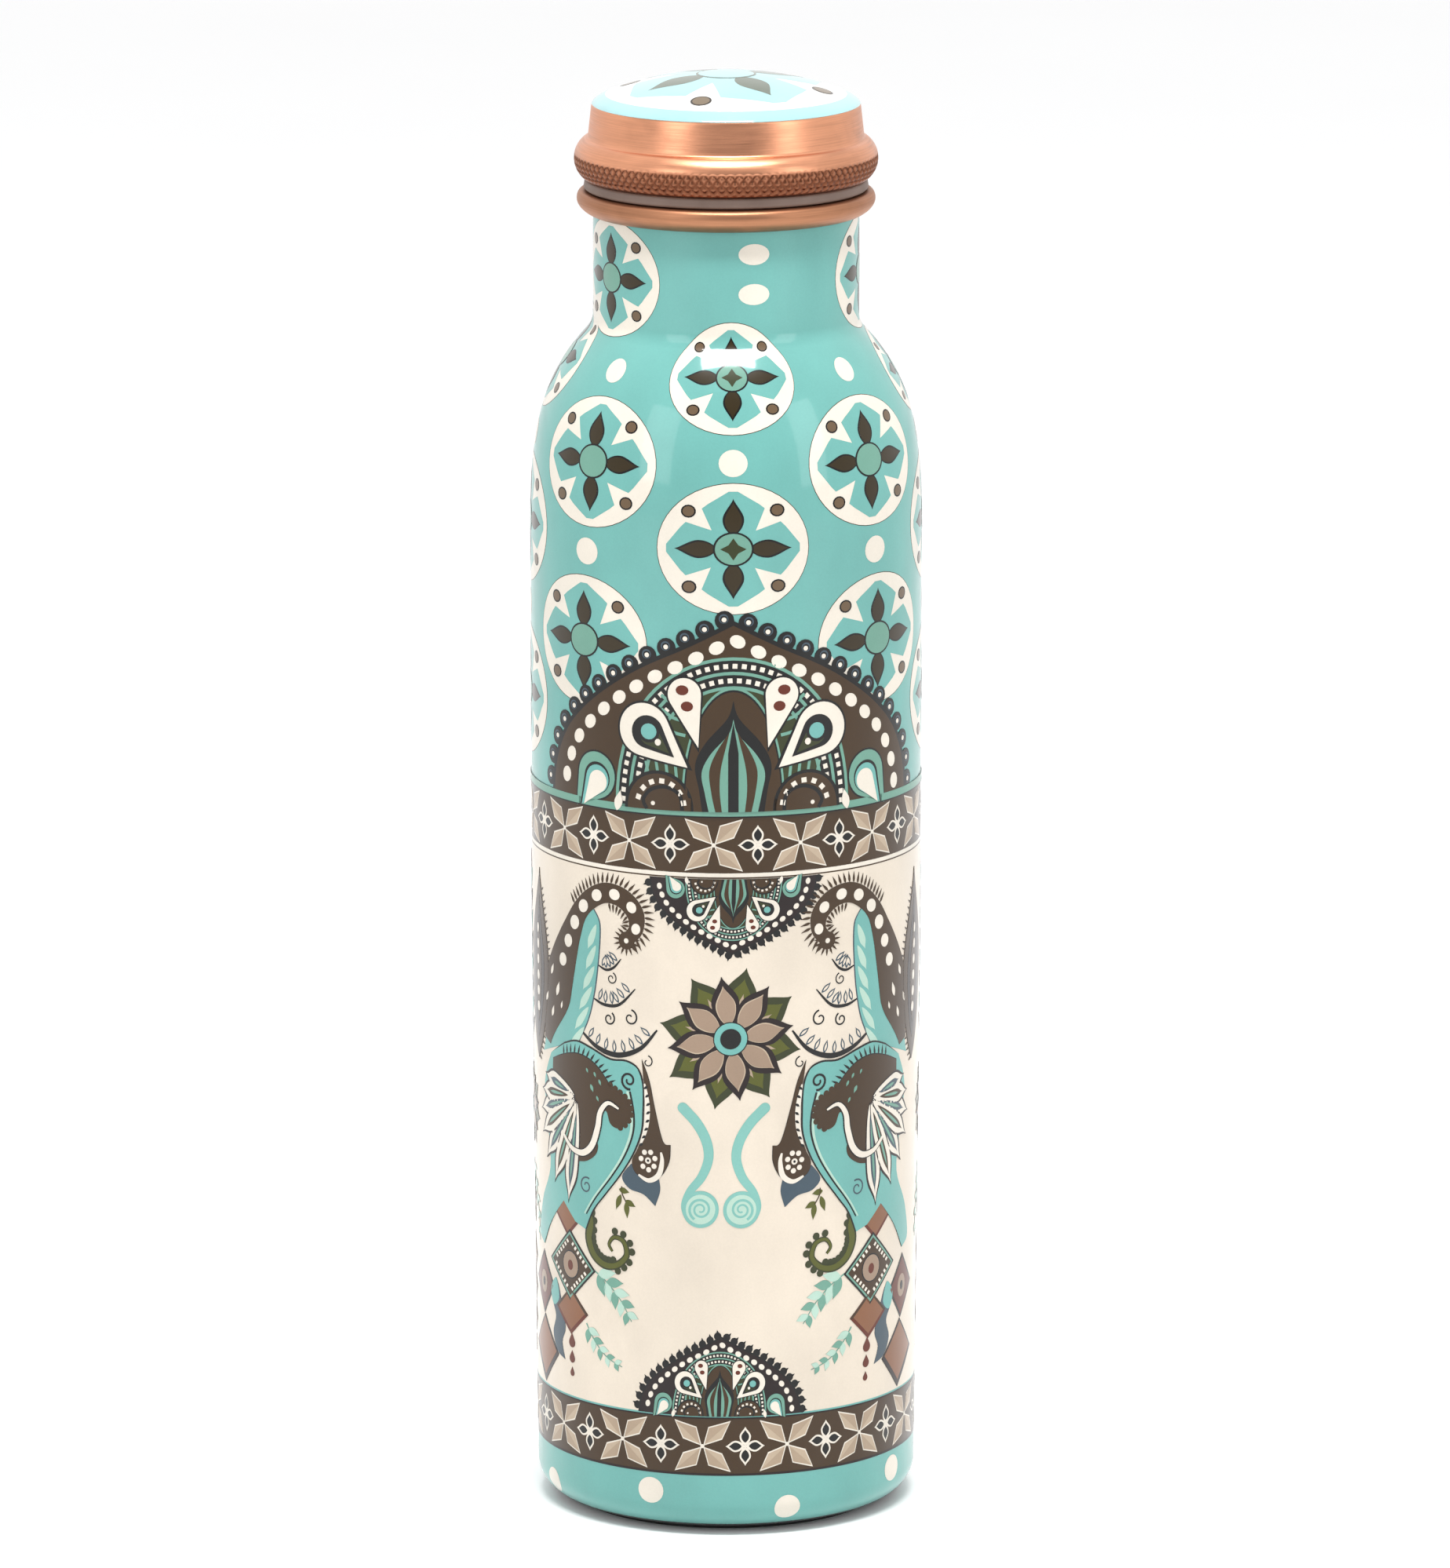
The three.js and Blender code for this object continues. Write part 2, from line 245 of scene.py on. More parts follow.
def cut_thread(bm, wall_radius, low, high, side):
    """Raises (side 1) or sinks (side -1) a right-hand thread in a wall of one radius."""
    for vert in bm.verts:
        radius = math.hypot(vert.co.x, vert.co.y) / MM
        z = vert.co.z / MM
        if abs(radius - wall_radius) > 1e-3 or not low <= z <= high:
            continue
        turns = z / THREAD_PITCH - math.atan2(vert.co.y, vert.co.x) / FULL_TURN
        ridge = (1 - math.cos(FULL_TURN * turns)) / 2
        fade = smoothstep(low, low + THREAD_FADE, z) * (1 - smoothstep(high - THREAD_FADE, high, z))
        change = THREAD_DEPTH * fade * (ridge if side > 0 else ridge - 1)
        vert.co.xy = vert.co.xy * ((radius + change) / radius)


def smoothstep(low, high, value):
    t = min(max((value - low) / (high - low), 0), 1)
    return t * t * (3 - 2 * t)


def body(finishes):
    outside = body_outline()
    bm = turned(outside + moved_left(outside, BODY_WALL)[::-1])
    middle = Vector((0, 0, WIDEST_Z * MM))
    for face in bm.faces:
        outward = face.normal.dot(face.calc_center_median() - middle) > 0
        face.material_index = 0 if outward else 1
    return finished(bm, "bottle_body", "bottle", "printed_lacquer", *finishes)


def foot_pad(finish):
    edge = pad_high[0]
    top = pad_high[2]
    outline = joined(
        [(0, 0)], line((edge * 0.5, 0), (edge - 0.25, 0), 4), arc(edge - 0.25, 0.25, 0.25, -90, 0, 4),
        arc(edge - 0.1, top - 0.1, 0.1, 0, 90, 3), [(0, top)],
    )
    return finished(turned(outline), "foot_pad", "bottle", "black_rubber", finish)


def spout_and_collar(finish):
    inside = SLEEVE_RADIUS - RING_WALL
    bore = SPOUT_RADIUS - RING_WALL
    skirt = NECK_RADIUS + 0.25
    groove_z = NECK_END_Z + 0.15
    skirt_z = SEAT_Z - COLLAR_HEIGHT
    crown_z = SEAT_Z - COLLAR_CROWN
    throat_z = groove_z - (inside - bore) / 2
    round_lip = RING_WALL / 2
    outline = joined(
        line((inside, SLEEVE_Z), (SLEEVE_RADIUS, SLEEVE_Z)),
        line((SLEEVE_RADIUS, SLEEVE_Z), (SLEEVE_RADIUS, groove_z), 3),
        line((SLEEVE_RADIUS, groove_z), (skirt, groove_z)),
        line((skirt, groove_z), (skirt, skirt_z + 0.3), 2),
        bend((skirt, skirt_z + 0.3), (skirt + 0.1, skirt_z - 0.1),
             (COLLAR_RADIUS, crown_z - 1.7), (COLLAR_RADIUS, crown_z), 14),
        bend((COLLAR_RADIUS, crown_z), (COLLAR_RADIUS, crown_z + 0.6 * COLLAR_CROWN),
             (COLLAR_RADIUS - 0.5, SEAT_Z), (COLLAR_RADIUS - 1.3, SEAT_Z), 8),
        line((COLLAR_RADIUS - 1.3, SEAT_Z), (SPOUT_RADIUS, SEAT_Z), 4),
        line((SPOUT_RADIUS, SEAT_Z), (SPOUT_RADIUS, LIP_Z - round_lip), 44),
        arc(SPOUT_RADIUS - round_lip, LIP_Z - round_lip, round_lip, 0, 180, 8),
        line((bore, LIP_Z - round_lip), (bore, throat_z + inside - bore), 4),
        line((bore, throat_z + inside - bore), (inside, throat_z), 4),
        line((inside, throat_z), (inside, SLEEVE_Z), 3),
    )[:-1]
    bm = turned(outline)
    cut_thread(bm, SPOUT_RADIUS, SPOUT_THREAD_Z, LIP_Z - round_lip, 1)
    return finished(bm, "spout_and_collar", "bottle", "bare_copper", finish)


def gasket(finish):
    outer = gasket_high[0]
    inner = SPOUT_RADIUS + 0.3
    low, high = gasket_low[2], gasket_high[2]
    turn = 0.6
    outline = joined(
        line((inner, low), (outer - turn, low), 5),
        arc(outer - turn, low + turn, turn, -90, 0, 6),
        line((outer, low + turn), (outer - 0.12, high - turn), 3),
        arc(outer - 0.12 - turn, high - turn, turn, 0, 90, 6),
        line((outer - turn - 0.12, high), (inner, high), 5),
    )
    bm = turned(outline)
    return finished(bm, "gasket_ring", "bottle", "brown_silicone", finish)


def knurled_bead():
    """The grip bead's outline from its foot to where it meets the plain side, finely stepped."""
    centre = (BEAD_RADIUS - BEAD_SECTION, CAP_Z + BEAD_HEIGHT / 2)
    swing = math.degrees(math.asin(0.98 * BEAD_HEIGHT / 2 / BEAD_SECTION))
    top_z = CAP_Z + BEAD_HEIGHT
    bead = arc(*centre, BEAD_SECTION, -swing, swing, 44)
    foot = (bead[0][0] - 0.3, CAP_Z)
    neck = bend(bead[-1], (SIDE_FOOT_RADIUS + 0.25, top_z + 0.2), (SIDE_FOOT_RADIUS + 0.05, top_z + 0.3),
                (SIDE_FOOT_RADIUS, top_z + 1), 6)
    return foot, bead, neck


def cap_shell(finish):
    foot, bead, neck = knurled_bead()
    outside = joined(
        line((bead[0][0] - 1.9, CAP_Z), foot, 3),
        bead,
        neck,
        line((SIDE_FOOT_RADIUS, neck[-1][1]), (SIDE_TOP_RADIUS, SIDE_TOP_Z), 5),
        cap_top_outline(),
    )
    bare = [p for p in outside if p not in bead[1:-1] or bead.index(p) % 6 == 0]
    bm = turned(outside + moved_left(bare, CAP_WALL)[::-1], KNURL_STEPS)
    # Each vertex of the bead stores how much painted shade darkens the copper there.
    painted_knurl_shade = bm.verts.layers.float.new("painted_knurl_shade")
    middle_z = CAP_Z + BEAD_HEIGHT / 2
    centre_r = BEAD_RADIUS - BEAD_SECTION
    low, high = KNURL_TILTS
    for vert in bm.verts:
        radius = math.hypot(vert.co.x, vert.co.y) / MM
        z = vert.co.z / MM
        from_centre = math.hypot(radius - centre_r, z - middle_z)
        if abs(from_centre - BEAD_SECTION) > 0.02 or radius < centre_r:
            continue
        tilt = math.degrees(math.atan2(z - middle_z, radius - centre_r))
        if tilt > high:
            continue
        rows = math.radians(tilt) * BEAD_SECTION / (2 * KNURL_ROW)
        rounds = math.atan2(vert.co.y, vert.co.x) / FULL_TURN * KNURLS
        ridge = min(abs(math.sin(math.pi * (rounds + rows))), abs(math.sin(math.pi * (rounds - rows))))
        under_knurl_top = 1 - smoothstep(high - KNURL_FADE, high, tilt)
        sunk = (1 - min(ridge * 1.3, 1)) * under_knurl_top * smoothstep(low, low + KNURL_FADE, tilt)
        # Painted shade: the bead is darkened below the knurl's top, more towards its underside, and most in
        # the knurl's grooves.
        lower_bead_shade = 0.6 + 0.24 * smoothstep(8, -28, tilt)
        vert[painted_knurl_shade] = under_knurl_top * (lower_bead_shade + (1 - lower_bead_shade) * sunk ** 0.6)
        outward = Vector((vert.co.x, vert.co.y, 0)).normalized() * (radius - centre_r)
        outward.z = z - middle_z
        vert.co -= outward.normalized() * KNURL_DEPTH * sunk * MM
    return finished(bm, "cap_cover", "cap", "brushed_copper", finish, sharp=70)


def cap_liner(finish):
    inside = LINER_RADIUS
    outside = LINER_RADIUS + LINER_WALL
    flange_edge = BEAD_RADIUS - 2.65
    flange_z = liner_low[2]
    flange_top = flange_z + 0.6
    top = liner_high[2]
    ceiling = top - LINER_WALL
    outline = joined(
        [(0, ceiling)],
        line((inside * 0.5, ceiling), (inside, ceiling), 3),
        line((inside, ceiling), (inside, flange_z), 44),
        line((inside, flange_z), (flange_edge, flange_z)),
        line((flange_edge, flange_z), (flange_edge, flange_top)),
        line((flange_edge, flange_top), (outside, flange_top)),
        line((outside, flange_top), (outside, top - LINER_WALL), 2),
        arc(outside - LINER_WALL, top - LINER_WALL, LINER_WALL, 0, 90, 4),
        [(0, top)],
    )
    bm = turned(outline)
    cut_thread(bm, inside, CAP_Z + 1.4, seal_low[2], -1)
    return finished(bm, "threaded_liner", "cap", "bare_copper", finish)


def seal_disc(finish):
    edge = seal_high[0]
    low, high = seal_low[2], seal_high[2]
    outline = joined(
        [(0, low)],
        line((edge * 0.55, low), (edge * 0.6, low)),
        line((edge * 0.62, low + 0.15), (edge * 0.8, low + 0.15)),
        line((edge * 0.82, low), (edge - 0.4, low)),
        arc(edge - 0.4, low + 0.4, 0.4, -90, 0, 4),
        arc(edge - 0.2, high - 0.2, 0.2, 0, 90, 3),
        [(0, high)],
    )
    return finished(turned(outline), "sealing_disc", "seal", "clear_silicone", finish)


# ---- Flat shapes for the print, in millimetres ----------------------------------------------------
def ellipse(x, y, across, up=None, steps=20):
    up = across if up is None else up
    return [(x + across * math.cos(a), y + up * math.sin(a))
            for a in (FULL_TURN * i / steps for i in range(steps))]


def box(left, low, right, high):
    return [(left, low), (right, low), (right, high), (left, high)]


def spline(points, steps=5, closed=False, corners=()):
    """A smooth line through the points, which may turn sharply at some of them."""
    count = len(points)
    knots = [Vector((*p, 0)) for p in points]
    result = []
    for i in range(count if closed else count - 1):
        here, there = knots[i], knots[(i + 1) % count]
        before = knots[i - 1] if closed or i > 0 else here
        after = knots[(i + 2) % count] if closed or i + 2 < count else there
        out = here + (there - before) / 6 if i not in corners else here + (there - here) / 3
        back = there - (after - here) / 6 if (i + 1) % count not in corners else there - (there - here) / 3
        result += [(p.x, p.y) for p in interpolate_bezier(here, out, back, there, steps + 1)[:-1]]
    return result if closed else result + [points[-1]]


def leaf(base, tip, width, belly=0.45, steps=7):
    """A leaf pointed at both ends, widest at its belly."""
    (x0, y0), (x1, y1) = base, tip
    way = Vector((x1 - x0, y1 - y0))
    side = Vector((-way.y, way.x)).normalized() * (width / 2)

    def edge(sign):
        middle = Vector(base) + way * belly + side * sign
        lead = way * 0.5
        first = bend(base, Vector(base) + lead * 0.25 + side * sign * 0.7, middle - lead * 0.35, middle,
                     steps)
        last = bend(middle, middle + lead * 0.35, Vector(tip) - lead * 0.25 + side * sign * 0.12, tip, steps)
        return joined(first, last)

    return edge(-1) + edge(1)[-2:0:-1]


def drop(tip, centre, radius, steps=18):
    """A drop: a round end about its centre, drawn out to a tip."""
    way = Vector(tip) - Vector(centre)
    reach = way.length
    heading = math.atan2(way.y, way.x)
    touch = math.acos(min(radius / reach, 0.95))
    start, end = math.degrees(heading + touch), math.degrees(heading - touch) + 360
    return [tuple(tip)] + arc(*centre, radius, start, end, steps)


def ribbon(points, width, end_width=None, belly=None):
    """A band along a line, which may taper from one width to another, or swell in the middle."""
    end_width = width if end_width is None else end_width
    left, right = [], []
    last = len(points) - 1
    for i, p in enumerate(points):
        way = Vector(points[min(i + 1, last)]) - Vector(points[max(i - 1, 0)])
        side = Vector((-way.y, way.x)).normalized()
        t = i / last
        half = (width + (end_width - width) * t) / 2
        if belly is not None:
            half += (belly / 2) * math.sin(math.pi * t)
        left.append((p[0] + side.x * half, p[1] + side.y * half))
        right.append((p[0] - side.x * half, p[1] - side.y * half))
    return right + left[::-1]


def spiral(x, y, start_radius, end_radius, start_angle, turns, steps=40):
    points = []
    for i in range(steps + 1):
        t = i / steps
        radius = start_radius + (end_radius - start_radius) * t
        a = math.radians(start_angle) + FULL_TURN * turns * t
        points.append((x + radius * math.cos(a), y + radius * math.sin(a)))
    return points


def spaced(points, gap, first=0.0):
    """Places every gap along a line, each with the angle that the line has there."""
    places = []
    wanted = first
    done = 0.0
    for a, b in zip(points, points[1:]):
        length = math.dist(a, b)
        while wanted <= done + length + 1e-9:
            t = (wanted - done) / length
            heading = math.atan2(b[1] - a[1], b[0] - a[0])
            places.append((a[0] + (b[0] - a[0]) * t, a[1] + (b[1] - a[1]) * t, heading))
            wanted += gap
        done += length
    return places


# ---- Surfaces that carry print --------------------------------------------------------------------
LAYER = 0.016  # each layer of enamel lies this much above the last
ROOT = 0.01  # an enamel shape's edge reaches this far into what it lies on


class RoundSide:
    """The bottle's outside, unrolled: millimetres across from the front, and up along the outline."""

    def __init__(self):
        self.points = body_outline()[3:]
        self.heights = [0.0]
        for a, b in zip(self.points, self.points[1:]):
            self.heights.append(self.heights[-1] + math.dist(a, b))
        widest = next(h for p, h in zip(self.points, self.heights) if abs(p[1] - WIDEST_Z) < 1e-6)
        self.heights = [h - widest + WIDEST_Z for h in self.heights]

    def section(self, up):
        """The radius, height and outward direction of the outline at a distance up it."""
        last = len(self.points) - 2
        i = 0
        while i < last and self.heights[i + 1] < up:
            i += 1
        (r0, z0), (r1, z1) = self.points[i], self.points[i + 1]
        t = (up - self.heights[i]) / (self.heights[i + 1] - self.heights[i])
        normals = [self.corner(j) for j in (i, i + 1)]
        normal = normals[0].lerp(normals[1], min(max(t, 0), 1)).normalized()
        return r0 + (r1 - r0) * t, z0 + (z1 - z0) * t, normal

    def corner(self, i):
        before = Vector(self.points[max(i - 1, 0)])
        after = Vector(self.points[min(i + 1, len(self.points) - 1)])
        way = after - before
        return Vector((way.y, -way.x)).normalized()

    def place(self, across, up, lift):
        radius, z, normal = self.section(up)
        angle = across / BODY_RADIUS
        radius += normal.x * lift
        spot = Vector((math.sin(angle) * radius, -math.cos(angle) * radius, z + normal.y * lift))
        outward = Vector((math.sin(angle) * normal.x, -math.cos(angle) * normal.x, normal.y))
        return spot * MM, outward

    def cuts(self, axis):
        """Where a flat shape is cut so that it bends just as the bottle's own faces do."""
        if axis == 1:
            return self.heights
        gap = FULL_TURN / ROUND_STEPS * BODY_RADIUS
        return [gap * i for i in range(-ROUND_STEPS, ROUND_STEPS + 1)]


class RoundTop:
    """The cap's top, seen from above, in millimetres from its middle."""

    def __init__(self):
        self.points = cap_enamel_outline()[::-1]

    def section(self, radius):
        last = len(self.points) - 2
        i = 0
        while i < last and self.points[i + 1][0] < radius:
            i += 1
        (r0, z0), (r1, z1) = self.points[i], self.points[i + 1]
        z = z0 + (z1 - z0) * (radius - r0) / (r1 - r0)
        return z, Vector((z0 - z1, r1 - r0)).normalized()

    def place(self, x, y, lift):
        radius = math.hypot(x, y)
        z, normal = self.section(radius)
        outward = Vector((x, y, 0)) * (normal.x / max(radius, 1e-6))
        outward.z = normal.y
        return (Vector((x, y, z)) + outward * lift) * MM, outward

    def cuts(self, axis):
        gap = 1.2
        return [gap * i for i in range(-20, 21)]


class Ink:
    """All the enamel of one colour on one surface."""

    def __init__(self, name, surface):
        self.name = name
        self.surface = surface
        self.bm = bmesh.new()
        self.outward = self.bm.verts.layers.float_vector.new("outward")

    def lay(self, outline, layer):
        """Cuts a flat shape to the surface's grid, gives it an edge, and wraps it round the surface."""
        turns = sum(a[0] * b[1] - b[0] * a[1] for a, b in zip(outline, outline[1:] + outline[:1]))
        if turns < 0:
            outline = outline[::-1]
        flat = bmesh.new()
        flat.faces.new([flat.verts.new((x, y, 0)) for x, y in outline])
        flat.normal_update()
        bmesh.ops.triangulate(flat, faces=flat.faces[:])
        for axis in (0, 1):
            low, high = min(p[axis] for p in outline), max(p[axis] for p in outline)
            for place in self.surface.cuts(axis):
                if low < place < high:
                    side = Vector((1, 0, 0)) if axis == 0 else Vector((0, 1, 0))
                    geom = flat.verts[:] + flat.edges[:] + flat.faces[:]
                    bmesh.ops.bisect_plane(flat, geom=geom, dist=1e-5, plane_co=side * place, plane_no=side)
        # The two ends of a band that goes all the way round meet at the back, so they get no edge.
        half_round = math.pi * BODY_RADIUS - 1e-3
        rim = [e for e in flat.edges if e.is_boundary and min(abs(v.co.x) for v in e.verts) < half_round]
        edge = bmesh.ops.extrude_edge_only(flat, edges=rim)
        low_verts = {v for v in edge["geom"] if isinstance(v, bmesh.types.BMVert)}
        made = {}
        for vert in flat.verts:
            lift = -ROOT if vert in low_verts else layer * LAYER
            spot, outward = self.surface.place(vert.co.x, vert.co.y, lift)
            made[vert] = self.bm.verts.new(spot)
            made[vert][self.outward] = outward
        for face in flat.faces:
            self.bm.faces.new([made[v] for v in face.verts])
        flat.free()

    def finish(self, body_name, slot, material):
        bmesh.ops.remove_doubles(self.bm, verts=self.bm.verts[:], dist=1e-8)
        mesh = smooth_mesh(self.bm, self.name, material)
        mesh.normals_split_custom_set_from_vertices([d.vector for d in mesh.attributes["outward"].data])
        mesh.attributes.remove(mesh.attributes["outward"])
        return as_piece(mesh, self.name, body_name)


class Stencil:
    """Where and how large a motif is printed, on which layer and in which inks."""

    def __init__(self, inks, matrix=None, layer=0):
        self.inks = inks
        self.matrix = matrix or Matrix.Identity(3)
        self.layer = layer

    def at(self, x=0.0, y=0.0, across=1.0, up=1.0, turn=0.0, raised=0):
        """A stencil moved, scaled, turned by degrees and raised by some layers from this one."""
        a = math.radians(turn)
        move = Matrix(((1, 0, x), (0, 1, y), (0, 0, 1)))
        scale = Matrix(((across, 0, 0), (0, up, 0), (0, 0, 1)))
        spin = Matrix(((math.cos(a), -math.sin(a), 0), (math.sin(a), math.cos(a), 0), (0, 0, 1)))
        return Stencil(self.inks, self.matrix @ move @ scale @ spin, self.layer + raised)

    def leaning(self, slope, level):
        """A stencil whose shapes slip sideways by a slope below a level."""
        lean = Matrix(((1, slope, -slope * level), (0, 1, 0), (0, 0, 1)))
        return Stencil(self.inks, self.matrix @ lean, self.layer)

    def mirrored(self):
        """The stencil's mirror image and the stencil itself."""
        return [self.at(across=side) for side in (-1, 1)]

    def spun(self, count, first=0.0):
        """So many stencils, evenly turned about the same middle."""
        return [self.at(turn=360 / count * k + first) for k in range(count)]

    def along(self, points, gap, first=0.0):
        """Stencils at every gap along a line, turned to the line."""
        return [self.at(x, y, turn=math.degrees(heading)) for x, y, heading in spaced(points, gap, first)]

    def fill(self, ink, outline, layer=0):
        points = [self.matrix @ Vector((x, y, 1)) for x, y in outline]
        self.inks[ink].lay([(p.x, p.y) for p in points], self.layer + layer)


# ---- Motifs -----------------------------------------------------------------------------------------
def petalled_cross():
    """A four-petalled cross, in a round of radius one."""
    petal_top = [(0.29, 0.28), (0.41, 0.62), (0.33, 0.69), (0.06, 0.88), (-0.06, 0.88), (-0.33, 0.69),
                 (-0.41, 0.62)]
    points = []
    for k in range(4):
        a = math.radians(-90 * k)
        points += [(x * math.cos(a) - y * math.sin(a), x * math.sin(a) + y * math.cos(a))
                   for x, y in reversed(petal_top)]
    return points


def medallion(s, across, up, star=False):
    """A cream disc with a four-petalled cross, four leaves and four dots."""
    s.at(across=across + 0.13, up=up + 0.13).fill("brown", ellipse(0, 0, 1, steps=48), 1)
    s = s.at(across=across, up=up)
    s.fill("cream", ellipse(0, 0, 1, steps=48), 2)
    s.fill("aqua", petalled_cross(), 3)
    for q in s.spun(4):
        q.fill("dark", leaf((0, 0.2), (0, 0.77), 0.28), 4)
        q.fill("bark", leaf((0, 0.22), (0, 0.72), 0.225), 5)
        q.fill("dark", ellipse(0.575, 0.585, 0.1, steps=14), 4)
        q.fill("taupe", ellipse(0.575, 0.585, 0.078, steps=14), 5)
    s.fill("dark", ellipse(0, 0, 0.265, steps=28), 6)
    s.fill("sage", ellipse(0, 0, 0.238, steps=28), 7)
    if star:
        radii = [0.17 if k % 2 == 0 else 0.09 for k in range(8)]
        s.fill("moss", [(r * math.cos(math.radians(45 * k)), r * math.sin(math.radians(45 * k)))
                        for k, r in enumerate(radii)], 8)


ARCH_WIDTH = 40.4
ARCH_HEIGHT = 35.8
ARCH_HALF = [(ARCH_WIDTH, 0), (40.0, 4), (38.8, 8), (35.8, 13.2), (31, 18), (24.6, 22.8), (17.2, 27.3),
             (8.6, 31.4), (0, ARCH_HEIGHT)]


def arch_line(inset_across=0.0, inset_up=0.0):
    """The arch's edge from its right foot over its point to its left foot, drawn in by some amount."""
    right = spline(ARCH_HALF, 5)
    whole = right + [(-x, y) for x, y in reversed(right[:-1])]
    return [(x * (1 - inset_across / ARCH_WIDTH), y * (1 - inset_up / ARCH_HEIGHT)) for x, y in whole]


def arch_points(across, up, steps=36):
    return [(across * math.cos(math.pi * i / steps), up * math.sin(math.pi * i / steps) ** 0.9)
            for i in range(steps)] + [(-across, 0)]


def arch(s, simple=False):
    """Half a mandala standing on a band: scallops, dots, nested arches, petals, drops and a bud."""
    edge = arch_line()
    for x, y, heading in spaced(edge, 4.05, 1.6):
        out = Vector((math.sin(heading), -math.cos(heading)))
        s.fill("dark", ellipse(x + out.x * 0.8, y + out.y * 0.8, 1.8, steps=16), 0)
        if simple:
            tip = (x + out.x * 3.6 + out.y, y + out.y * 3.6 - out.x)
            s.fill("dark", leaf((x, y), tip, 1.7, 0.4, 3), 0)
        else:
            s.fill("slate", ellipse(x + out.x * 1.15, y + out.y * 1.15, 0.9, steps=12), 1)
            s.fill("dark", ellipse(x + out.x * 1.05, y + out.y * 1.05, 0.68, steps=12), 2)
            s.fill("cream", ellipse(x + out.x * 0.95, y + out.y * 0.95, 0.46, steps=10), 3)
    s.fill("dark", edge, 1)
    s.fill("umber" if simple else "brown", arch_line(0.8, 0.9), 2)
    for dot in s.along(arch_line(4.6, 3.5), 4.32, 2.4):
        dot.fill("cream", ellipse(0, 0, 1.5, 1.2, steps=16), 3)
    nested_arches(s, simple)
    for half in s.mirrored():
        stripes(half)
        end_drop(half.at(-0.5, -1.1))
        scroll_foot(half)
        paisley(half.at(-1.1, -1.4))
        petal(half.at(0.1, -1.3))
    bud(s)


def nested_arches(s, simple):
    for k in range(3):
        across, up = 22.8 - 2.75 * k, 29.0 - 2.7 * k
        s.fill("sage", arch_points(across, up), 3 + 2 * k)
        s.fill("dark" if k < 2 else "moss", arch_points(across - 0.65, up - 0.6), 4 + 2 * k)
        if k < 2:
            for tile in s.along(arch_points(across - 1.65, up - 1.65), 1.7, 0.9):
                tile.fill("cream", box(-0.45, -0.45, 0.45, 0.45), 5 + 2 * k)
    s.fill("sage", arch_points(9.6, 23.4), 9)
    s.fill("dark", arch_points(9.2, 22.9), 10)
    s.fill("brown", arch_points(8.9, 22.5), 11)


def stripes(s):
    """Pale stripes behind the petals and drops on one side of the arch."""
    for x, high in ((15.4, 9.0), (13.7, 11.0), (12.0, 12.5), (10.3, 13.0)):
        s.fill("sage", ribbon(spline([(x, 0), (x + 0.2, high * 0.5), (x + 1.0, high)], 4), 0.55), 9)
    for y in (15.4, 18.1, 20.7):
        s.fill("sage", ribbon(spline([(8.8, y - 1.2), (11.2, y - 0.6), (13.4, y + 0.9)], 4), 0.6), 10)


def petal(s):
    """The cream petal with two russet dots beside the bud."""
    centre = (8.9, 23.2)
    s.fill("dark", drop((6.2, 12.4), centre, 3.45, 20), 14)
    s.fill("cream", drop((6.3, 13.3), centre, 3.1, 20), 15)
    s.fill("russet", ellipse(9.3, 24.0, 1.2, 0.95, steps=14), 16)
    s.fill("russet", ellipse(8.4, 21.0, 1.15, 0.95, steps=14), 16)


def paisley(s):
    """The cream drop with an aqua bead, outside the petal."""
    s.fill("dark", drop((8.6, 9.1), (17.9, 16.3), 5.35, 26), 12)
    s.fill("cream", drop((9.5, 9.6), (17.9, 16.3), 4.95, 26), 13)
    s.fill("dark", drop((12.0, 11.4), (17.2, 15.9), 3.1, 20), 14)
    s.fill("moss", drop((12.9, 12.1), (16.7, 15.3), 1.9, 16), 15)
    s.fill("dark", ellipse(16.9, 15.9, 2.1, 2.0, steps=18), 16)
    s.fill("aqua", ellipse(16.9, 16.0, 1.55, 1.5, steps=16), 17)
    s.fill("cream", ellipse(15.1, 14.1, 0.6, 0.65, steps=10), 17)


def end_drop(s):
    """The drop in the arch's corner."""
    s.fill("dark", drop((33.2, -0.1), (27.9, 6.2), 4.75, 22), 3)
    s.fill("sage", drop((32.9, -0.1), (27.9, 6.2), 4.4, 22), 4)
    s.fill("dark", drop((31.9, 0.2), (27.7, 5.7), 3.05, 20), 5)
    s.fill("aqua", drop((31.5, 0.3), (27.6, 5.5), 2.7, 18), 6)
    s.fill("cream", drop((30.9, 0.4), (27.4, 5.1), 2.1, 16), 7)
    s.fill("cream", leaf((23.0, 0.2), (22.2, 4.1), 1.7), 10)


def scroll_foot(s):
    """The round scroll at the bud's foot, edged with tiles."""
    s.fill("dark", [(x + 14.0, y) for x, y in arch_points(6.7, 7.4, 22)], 11)
    s.fill("brown", [(x + 14.0, y) for x, y in arch_points(6.1, 6.8, 22)], 12)
    for tile in s.at(13.6).along(arch_points(4.6, 5.5, 22), 2.05, 2.2):
        tile.fill("cream", box(-0.5, -0.48, 0.5, 0.48), 13)
    s.fill("dark", ribbon(spline([(9.4, 0.1), (9.9, 3.0), (12.4, 4.4), (15.3, 3.8), (16.9, 1.8),
                                  (16.2, 0.1)], 5), 0.7), 13)
    s.fill("cream", ellipse(15.0, 1.2, 0.42, steps=8), 13)


